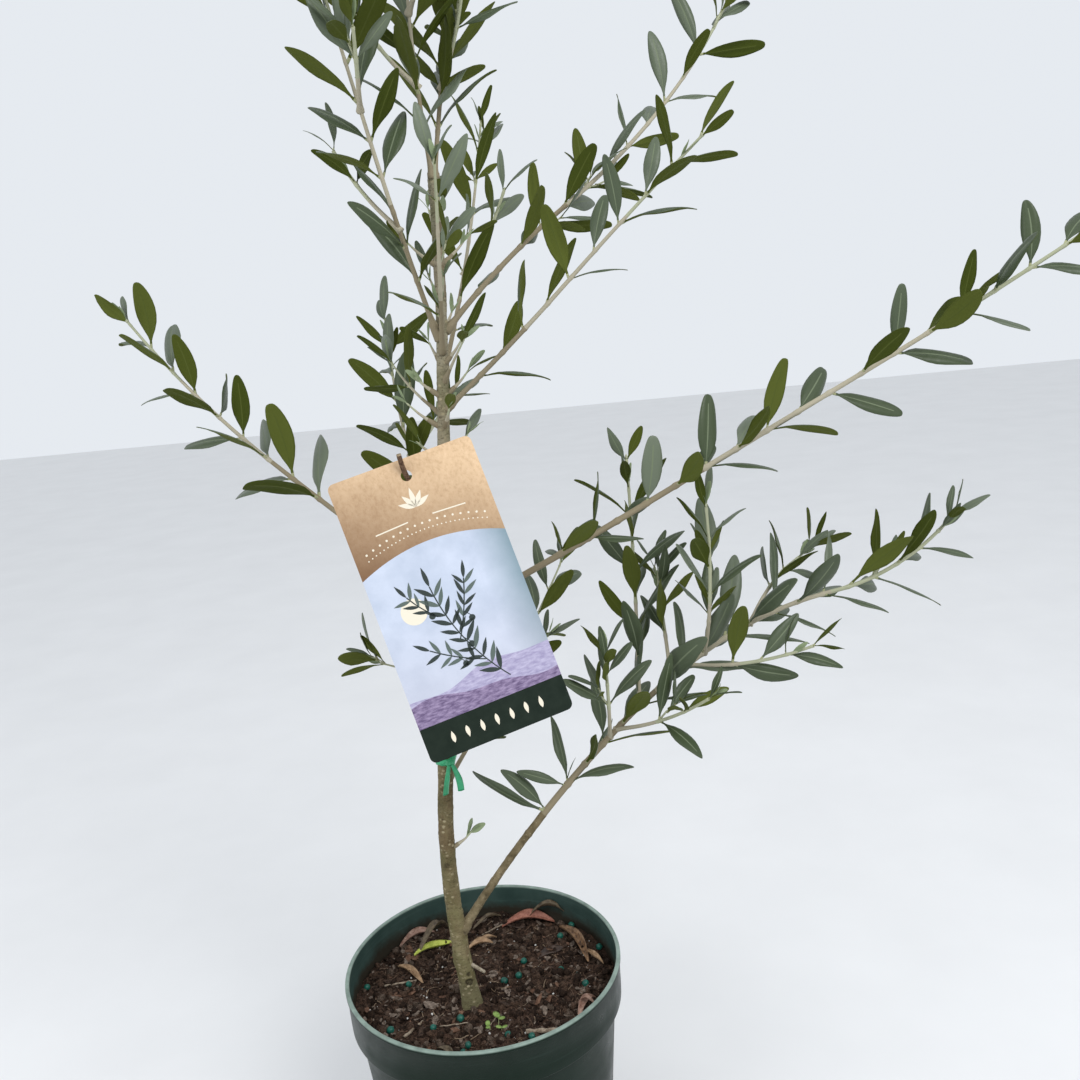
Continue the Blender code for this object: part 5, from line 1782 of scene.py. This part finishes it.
def add_flake(surface, x, y, dice):
    """A flat splinter of bark with a ragged outline, tipped and half sunk in the soil."""
    length = mostly_small(dice, *FLAKE_LENGTHS)
    slot = dice.choice(BIT_SLOTS)
    count = dice.choice((6, 7, 8, 9))
    narrow = dice.uniform(0.28, 0.75)
    thick = length * dice.uniform(0.08, 0.20)
    outline = []
    for index in range(count):
        turn = 2 * math.pi * (index + dice.uniform(-0.3, 0.3)) / count
        reach = length * dice.uniform(0.65, 1.15)
        outline.append((reach * math.cos(turn), reach * narrow * math.sin(turn)))
    rings = [[Vector((0, 0, -0.6 * thick))]]
    for level in (-0.5, 0.5):
        ring = []
        for px, py in outline:
            bow = 0.10 * (px / length) ** 2 * length
            ring.append(Vector((px, py, level * thick * dice.uniform(0.7, 1.2) + bow)))
        rings.append(ring)
    rings.append([Vector((length * dice.uniform(-0.3, 0.3), 0, 0.75 * thick))])
    leans = [dice.uniform(-0.45, 0.45) for _ in range(2)]
    turn = Matrix.Rotation(dice.uniform(0, 2 * math.pi), 3, "Z") @ Euler([*leans, 0]).to_matrix()
    spot = on_soil(x, y, 0.0006)
    surface.add_rings([[spot + turn @ point for point in ring] for ring in rings], slot)


def add_fibre(surface, x, y, dice):
    """A thin bent fibre that lies on the soil."""
    length = mostly_small(dice, *FIBRE_LENGTHS)
    radius = dice.uniform(0.00010, 0.00030)
    slot = dice.choice((0, 1, 1))
    turn = dice.uniform(0, 2 * math.pi)
    bend = dice.uniform(-160, 160)
    points = []
    count = 7
    for _ in range(count + 1):
        points.append(Vector((x, y, soil_height(x, y) + radius + 0.0004)))
        x += math.cos(turn) * length / count
        y += math.sin(turn) * length / count
        turn += math.radians(bend) / count * length / 0.012
    smooth = [point.copy() for point in points]
    for before, point, after, bridged in zip(points, points[1:], points[2:], smooth[1:]):
        bridged.z = max(point.z, (before.z + after.z) / 2)
    add_tube(surface, smooth, [radius * (1 - 0.5 * index / count) for index in range(count + 1)], 5, slot)


def add_grit(surface, x, y, dice):
    radius = mostly_small(dice, *GRIT_RADII)
    add_lump(surface, on_soil(x, y, radius * 0.8), radius, (1.0, 0.85, 0.7), 0.45, dice, 0, 1)


def make_soil_bits():
    """Crumbs, bark flakes, fibres and white grit strewn over the soil, all by one run of seeded draws."""
    crumbs = [peat_material(name) for name in ("crumb_dark", "crumb_brown", "crumb_grey")]
    dice = random.Random("soil bits")
    for name, add_bit, spread, materials in (
        ("soil_crumbs", add_crumb, CRUMBS, crumbs),
        ("bark_flakes", add_flake, FLAKES, mottled("flake_dark", "flake_grey", "flake_red")),
        ("soil_fibres", add_fibre, FIBRES, mottled("fibre_tan", "fibre_brown")),
        ("perlite_grit", add_grit, GRIT, mottled("perlite")),
    ):
        bits = Surface()
        for x, y in soil_spots(dice, *spread):
            add_bit(bits, x, y, dice)
        place(bits.make(name, materials, smooth=add_bit is not add_flake), "potting_soil", "soil")


def make_feed():
    """Coated balls of plant feed, half sunk in the soil."""
    dice = random.Random("feed")
    balls = Surface()
    for x, y in FEED_PLACES:
        radius = dice.uniform(0.00175, 0.00215)
        add_lump(balls, at_soil(x, y, radius * 0.70), radius, (1, 1, 0.96), 0.07, dice, 0, 3)
    place(balls.make("feed_balls", [feed_material()]), "potting_soil", "soil")


def add_curled_leaf(surface, start, end, rise, width, cup, twist, slot):
    """A fallen leaf between two places: an arched strip, cupped across, narrow at both ends."""
    start, end = at_soil(*start, 0.0008), at_soil(*end, 0.0008)
    span = end - start
    level = Vector((-span.y, span.x, 0)).normalized()
    rings = []
    for row in range(CURL_ROWS + 1):
        share = row / CURL_ROWS
        arch = math.sin(math.pi * share)
        middle = start + span * share
        middle.z += rise * arch**0.8 + 0.0004 * math.sin(7 * share + rise * 900)
        middle += level * 0.08 * span.length * arch * (1 if twist > 0 else -1)
        half = width / 2 * (max(math.sin(math.pi * (0.04 + 0.93 * share)), 0.0) ** 0.7)
        turn = twist * (share - 0.3)
        side = level * math.cos(turn) + Vector((0, 0, 1)) * math.sin(turn)
        up = side.cross(span.normalized()).normalized()
        up = up if up.z > 0 else -up
        top, bottom = [], []
        for column in CURL_COLUMNS:
            edge = cup * half * (column * column) + 0.00025 * math.sin(9 * share + 3 * column)
            point = middle + side * half * column * (1 - 0.18 * cup * column * column) + up * edge
            top.append(point + up * CURL_HALF_THICKNESS)
            bottom.append(point - up * CURL_HALF_THICKNESS)
        rings.append(top + bottom[::-1])
    surface.add_rings(rings, slot)


def make_fallen_leaves():
    leaves = Surface()
    for litter in LITTER:
        add_curled_leaf(leaves, *litter)
    hues = ("red", "brown", "tan", "fresh", "pink", "husk", "bark")
    colours = mottled(*("litter_" + hue for hue in hues), gloss=SATIN)
    place(leaves.make("fallen_leaves", colours), "potting_soil", "soil")


def make_sticks():
    dice = random.Random("litter")
    sticks = Surface()
    for start, end, radius in STICKS:
        foot, tip = at_soil(*start, 0.0012), at_soil(*end, 0.0012)
        points = [foot.lerp(tip, index / 9) for index in range(10)]
        for index, point in enumerate(points):
            rest = soil_height(point.x, point.y) + radius * 0.6
            point.z = max(point.z, rest) + 0.0002 * math.sin(2.1 * index)
        add_tube(sticks, points, [radius * dice.uniform(0.8, 1.15) for _ in points], 8)
    place(sticks.make("soil_sticks", mottled("stick_wood")), "potting_soil", "soil")


def add_seed_leaf(surface, centre, out, size):
    """A round seed leaf, slightly dished."""
    across = out.cross(Vector((0, 0, 1))).normalized()
    up = across.cross(out).normalized()
    rings = [[centre - up * size * 0.17]]
    for half, lift in ((1.0, 0.10), (0.55, 0.0)):
        ring = []
        for turn in turns_round(14):
            spread = out * math.cos(turn) * size * half + across * math.sin(turn) * size * 0.72 * half
            ring.append(centre + spread + up * size * lift)
        rings.append(ring)
    surface.add_rings([*rings, [centre - up * size * 0.05]])


def make_seedlings():
    seedlings = Surface()
    for x, y, height, leaf_size, turn in SEEDLINGS:
        foot = at_soil(x, y, -0.001)
        lean = Vector((math.cos(turn), math.sin(turn), 0)) * height * 0.3
        middle, tip = foot + Vector((0, 0, height * 0.6)) + lean * 0.4, foot + Vector((0, 0, height)) + lean
        curve = smooth_course([foot, middle, tip], height / 6)
        add_tube(seedlings, curve, [0.00032] * len(curve), 7, 1)
        for hand in (0, 1):
            around = turn + 1.2 + math.pi * hand
            out = Vector((math.cos(around), math.sin(around), 0.25)).normalized()
            add_seed_leaf(seedlings, tip + out * leaf_size * 0.9, out, leaf_size)
    place(seedlings.make("seedlings", mottled("seedling_leaf", "seedling_stem")), "potting_soil", "soil")


# ---------------------------------------------------------------- tag and tie


def plate(surface, outline, layer, slot):
    """A flat piece of print with this outline, turning anticlockwise. Higher layers cover lower ones."""
    surface.add_rings([[(x, y, height) for x, y in outline] for height in (0.0, layer * PRINT_LAYER)], slot)


def leaf_at(x, y, length, width, degrees):
    """The outline of a small printed leaf whose foot is here."""
    cos, sin = math.cos(math.radians(degrees)), math.sin(math.radians(degrees))
    left = [(part / 8, math.sin(math.pi * (part / 8) ** 0.85) * width / 2) for part in range(9)]
    points = []
    for share, across in [(share, -across) for share, across in left] + left[-2:0:-1]:
        ahead = length * share
        points.append((x + ahead * cos - across * sin, y + ahead * sin + across * cos))
    return points


def line_along(places, width):
    """The outline of a printed line of this width through these places."""
    left, right = [], []
    for index, (x, y) in enumerate(places):
        x0, y0 = places[max(index - 1, 0)]
        x1, y1 = places[min(index + 1, len(places) - 1)]
        span = math.hypot(x1 - x0, y1 - y0)
        across_x, across_y = -(y1 - y0) / span * width / 2, (x1 - x0) / span * width / 2
        left.append((x + across_x, y + across_y))
        right.append((x - across_x, y - across_y))
    return right + left[::-1]


def arch_height(x):
    """The height of the arched line between the card's bare head and its picture."""
    return TAG_ARCH_FOOT + TAG_ARCH_RISE * (1 - ((x - TAG_MIDDLE) / (TAG_WIDTH / 2)) ** 2)


def hill_height(x, base, rise, phase):
    return base + rise * math.sin(x * 62 + phase) + rise * 0.35 * math.sin(x * 171 + 2 * phase)


def tag_corner(quarter, count):
    """Points round one of the card's corners. Quarter 0 is the upper right one, and they go anticlockwise."""
    x = TAG_LEFT + TAG_CORNER if quarter in (1, 2) else TAG_RIGHT - TAG_CORNER
    y = TAG_HOLE_DROP - TAG_CORNER if quarter in (0, 1) else TAG_FOOT + TAG_CORNER
    return arc((x, y), TAG_CORNER, 90 * quarter, 90 * (quarter + 1), count)


def print_picture(surface):
    """The printed picture: a pale sky under an arch, a low sun, mauve hills and a dark foot band."""
    across = [TAG_LEFT + (TAG_RIGHT - TAG_LEFT) * index / 24 for index in range(25)]
    band_top = [(x, TAG_BAND_TOP) for x in across]
    plate(surface, band_top + [(x, arch_height(x)) for x in reversed(across)], 1, SKY_INK)
    plate(surface, circle(SUN_RADIUS, 32, TAG_LEFT + 0.017, TAG_ARCH_FOOT - 0.021), 2, CREAM_INK)
    for base, rise, phase, slot, layer in HILLS:
        ridge = [(x, hill_height(x, base, rise, phase)) for x in reversed(across)]
        plate(surface, band_top + ridge, layer, slot)
    band = tag_corner(2, 5) + tag_corner(3, 5) + [(TAG_RIGHT, TAG_BAND_TOP), (TAG_LEFT, TAG_BAND_TOP)]
    plate(surface, band, 4, BAND_INK)


def print_sprig(surface):
    """A leafy sprig with a few fruits, printed across the sky: a bowed stem and three side stems."""
    dice = random.Random("printed sprig")
    for x, y, azimuths, length, size in SPRIG_STEMS:
        steps = round(length / SPRIG_STEP)
        turns = [azimuths[0] + (azimuths[1] - azimuths[0]) * index / steps for index in range(steps + 1)]
        stem = []
        for turn in turns:
            stem.append((x, y))
            x += math.cos(math.radians(turn)) * length / steps
            y += math.sin(math.radians(turn)) * length / steps
        plate(surface, line_along(stem, SPRIG_LINE), 4, SPRIG_INK)
        for index in range(2, steps, 2):
            for side in (-1, 1):
                reach = size * dice.uniform(0.85, 1.15)
                angle = turns[index] + side * dice.uniform(28, 62)
                slot = LIGHT_SPRIG_INK if dice.random() < LIGHT_LEAF_SHARE else SPRIG_INK
                plate(surface, leaf_at(*stem[index], reach, reach * SPRIG_LEAF_WIDTH, angle), 4, slot)
        plate(surface, leaf_at(*stem[-1], size, size * SPRIG_LEAF_WIDTH, azimuths[1]), 4, SPRIG_INK)
        fruit_x, fruit_y = stem[steps // 2]
        stalk = (fruit_x + 0.0026, fruit_y - 0.0030)
        plate(surface, line_along([(fruit_x, fruit_y), stalk], 0.0003), 4, SPRIG_INK)
        plate(surface, circle(0.0015, 16, stalk[0], stalk[1] - 0.0012), 4, SPRIG_INK)


def print_ornaments(surface):
    """Pale ornaments: on the bare head a fan of leaves and dotted arches, and leaves along the foot band."""
    for degrees in FAN_ANGLES:
        length = 0.0095 if degrees == 90 else 0.0082
        plate(surface, leaf_at(TAG_MIDDLE, -0.0150, length, 0.0024, degrees), 1, CREAM_INK)
    for offset, spacing, radius in DOTTED_ARCHES:
        count = round(DOTTED_WIDTH / spacing)
        for index in range(count + 1):
            x = TAG_MIDDLE + DOTTED_WIDTH * (index / count - 0.5)
            plate(surface, circle(radius, 8, x, arch_height(x) + offset), 1, CREAM_INK)
    for side in (-1, 1):
        start = TAG_MIDDLE + side * 0.006
        line = [(start + side * 0.016 * part / 6, -0.0205 - 0.0008 * part / 6) for part in range(7)]
        plate(surface, line_along(line[::side], 0.0006), 1, CREAM_INK)
    middle = (TAG_BAND_TOP + TAG_FOOT) / 2
    for index in range(-3, 4):
        up = 1 if index % 2 else -1
        leaf = leaf_at(TAG_MIDDLE + index * 0.0072, middle - up * 0.0028, 0.0056, 0.0020, 90 * up)
        plate(surface, leaf, 5, CREAM_INK)


def card_mesh():
    """The tag's card, with rounded corners and a round hole."""
    outline = [point for quarter in range(4) for point in tag_corner(quarter, 6)]
    count = len(outline)
    rim = circle(TAG_HOLE_RADIUS, count)
    shape = bmesh.new()
    loops = []
    for height in (-TAG_THICKNESS / 2, TAG_THICKNESS / 2):
        for loop in (outline, rim):
            loops.append([shape.verts.new((x, y, height)) for x, y in loop])
    back, back_rim, front, front_rim = loops
    for outer, inner in ((front, front_rim), (back, back_rim)):
        edges = []
        for loop in (outer, inner):
            edges += [shape.edges.new((loop[index], loop[(index + 1) % count])) for index in range(count)]
        bmesh.ops.triangle_fill(shape, use_beauty=True, edges=edges)
    for low, high in ((back, front), (back_rim, front_rim)):
        for index in range(count):
            after = (index + 1) % count
            shape.faces.new((low[index], low[after], high[after], high[index]))
    bmesh.ops.recalc_face_normals(shape, faces=shape.faces)
    mesh = bpy.data.meshes.new("tag_card")
    shape.to_mesh(mesh)
    shape.free()
    mesh.materials.append(kraft_material())
    return mesh


def make_tag(trunk):
    """The card that hangs on the pruned twig, with a generic printed picture on its front."""
    hole = along(limb_points(TAG_TWIG, trunk, TAG_TWIG_STEP), TAG_HANGS_AT)[0]
    tilt = Euler([math.radians(angle) for angle in TAG_ANGLES]).to_matrix().to_4x4()
    stand = Matrix.Translation(hole) @ tilt @ Matrix.Rotation(math.pi / 2, 4, "X")
    card = linked("tag_card", card_mesh())
    card.matrix_world = stand
    place(card, "card", "hang_tag")
    ink = Surface()
    print_picture(ink)
    print_sprig(ink)
    print_ornaments(ink)
    picture = ink.make("tag_print", print_materials(), smooth=False)
    picture.matrix_world = stand @ Matrix.Translation((0, 0, TAG_THICKNESS / 2))
    place(picture, "card", "hang_tag")


def add_ribbon(surface, points, acrosses, widths, thickness):
    """A soft flat strip along a course, a little thicker down its middle."""
    rings = []
    for index, (point, across, width) in enumerate(zip(points, acrosses, widths)):
        after = points[min(index + 1, len(points) - 1)]
        before = points[max(index - 1, 0)]
        out = (after - before).cross(across).normalized() * thickness / 2
        side = across * width / 2
        rings.append([point + side * x + out * y for x, y in RIBBON_SECTION])
    surface.add_rings(rings)


def make_tie(trunk):
    """The soft green tie: two turns round the trunk, a pinched knot and two cut ends."""
    centre, ahead = along(trunk, TIE_HEIGHT)
    around = trunk_radius(TIE_HEIGHT) + GAP + 0.0006
    knot_turn = math.radians(TIE_KNOT_AZIMUTH)
    out = Vector((math.cos(knot_turn), math.sin(knot_turn), 0))
    level = Vector((-out.y, out.x, 0))
    surface = Surface()
    for turn in (0, 1):
        points, acrosses, widths = [], [], []
        for index in range(TIE_STEPS + 1):
            angle = knot_turn + 2 * math.pi * index / TIE_STEPS
            ray = Vector((math.cos(angle), math.sin(angle), 0))
            sway = 0.0007 * math.sin(2 * angle + 2.2 * turn) + (0.0011 if turn else -0.0008)
            ripple = 0.00012 * math.sin(9 * angle + turn)
            points.append(centre + ray * (around + 0.0005 * turn + ripple) + ahead * sway)
            acrosses.append((ahead + ray * 0.25 * math.sin(3 * angle)).normalized())
            widths.append(TIE_WIDTH * (0.55 + 0.45 * min(1, min(index, TIE_STEPS - index) / 6)))
        add_ribbon(surface, points, acrosses, widths, 0.0009)
    knot = centre + out * (around + TIE_CORD_RADIUS * 0.6)
    beads = [knot + level * aside for aside, _ in KNOT_BEADS]
    add_tube(surface, beads, [radius for _, radius in KNOT_BEADS], 14)
    for side in (-1, 1):
        spread = math.radians(side * TIE_TAIL_SPREAD)
        points, acrosses, widths = [], [], []
        for index in range(TAIL_STEPS + 1):
            share = index / TAIL_STEPS
            fall = TIE_TAIL_LENGTH * share
            swing = fall * math.sin(spread) + side * 0.0008 * math.sin(3 * share)
            lift = 0.0012 * math.sin(math.pi * share) + side * 0.0004
            drop = Vector((0, 0, fall * math.cos(spread) - 0.0006))
            points.append(knot + level * swing + out * lift - drop)
            curl = out * 0.28 * side * math.sin(2.5 * share)
            acrosses.append((level * math.cos(spread) + curl).normalized())
            widths.append(TIE_TAIL_WIDTH * (0.48 + 0.52 * min(1.0, share * 1.8)))
        add_ribbon(surface, points, acrosses, widths, 0.0010)
    place(surface.make("tie_ribbon", [tie_material()]), "tie_plastic", "garden_tie")


# ---------------------------------------------------------------- floor, light and camera


def make_stage():
    """A pale floor, a pale sky and two large soft lights."""
    surface = Surface()
    corners = ((-1, -1), (1, -1), (1, 1), (-1, 1))
    surface.add([(x * FLOOR_SIZE, y * FLOOR_SIZE, 0) for x, y in corners], [(0, 1, 2, 3)], 0)
    floor = surface.make("floor", [floor_material()])
    floor.location.z = -FLOOR_DROP
    bpy.context.scene.view_settings.view_transform = "Standard"
    world = bpy.data.worlds.new("pale_sky")
    bpy.context.scene.world = world
    world.use_nodes = True
    sky = world.node_tree.nodes["Background"]
    sky.inputs["Color"].default_value = (*SKY_COLOUR, 1.0)
    sky.inputs["Strength"].default_value = SKY_STRENGTH
    for name, stand, power, size in SOFT_LIGHTS:
        light = bpy.data.lights.new(name, "AREA")
        light.energy = power
        light.shape = "DISK"
        light.size = size
        lamp = linked(name, light)
        lamp.location = stand
        lamp.rotation_euler = (LIGHT_AIM - Vector(stand)).to_track_quat("-Z", "Y").to_euler()


def make_camera():
    """The photograph's view: a wide lens held close, tipped down and slightly rolled."""
    right = Vector(CAMERA_RIGHT).normalized()
    up = -Vector(CAMERA_DOWN)
    up = (up - right * up.dot(right)).normalized()
    turn = Matrix((right, up, right.cross(up))).transposed().to_4x4()
    data = bpy.data.cameras.new("camera")
    data.lens = CAMERA_LENS
    data.sensor_width = CAMERA_LENS
    camera = linked("camera", data)
    camera.matrix_world = Matrix.Translation(CAMERA_PLACE) @ turn
    bpy.context.scene.camera = camera


trunk_line = trunk_course()
all_masses, all_boughs = grow(trunk_line)
make_foliage(all_masses)
make_trunk(trunk_line)
make_boughs(all_boughs)
make_tag_twig(trunk_line)
make_tag(trunk_line)
make_tie(trunk_line)
make_pot()
make_soil()
make_soil_bits()
make_feed()
make_fallen_leaves()
make_sticks()
make_seedlings()
make_stage()
make_camera()
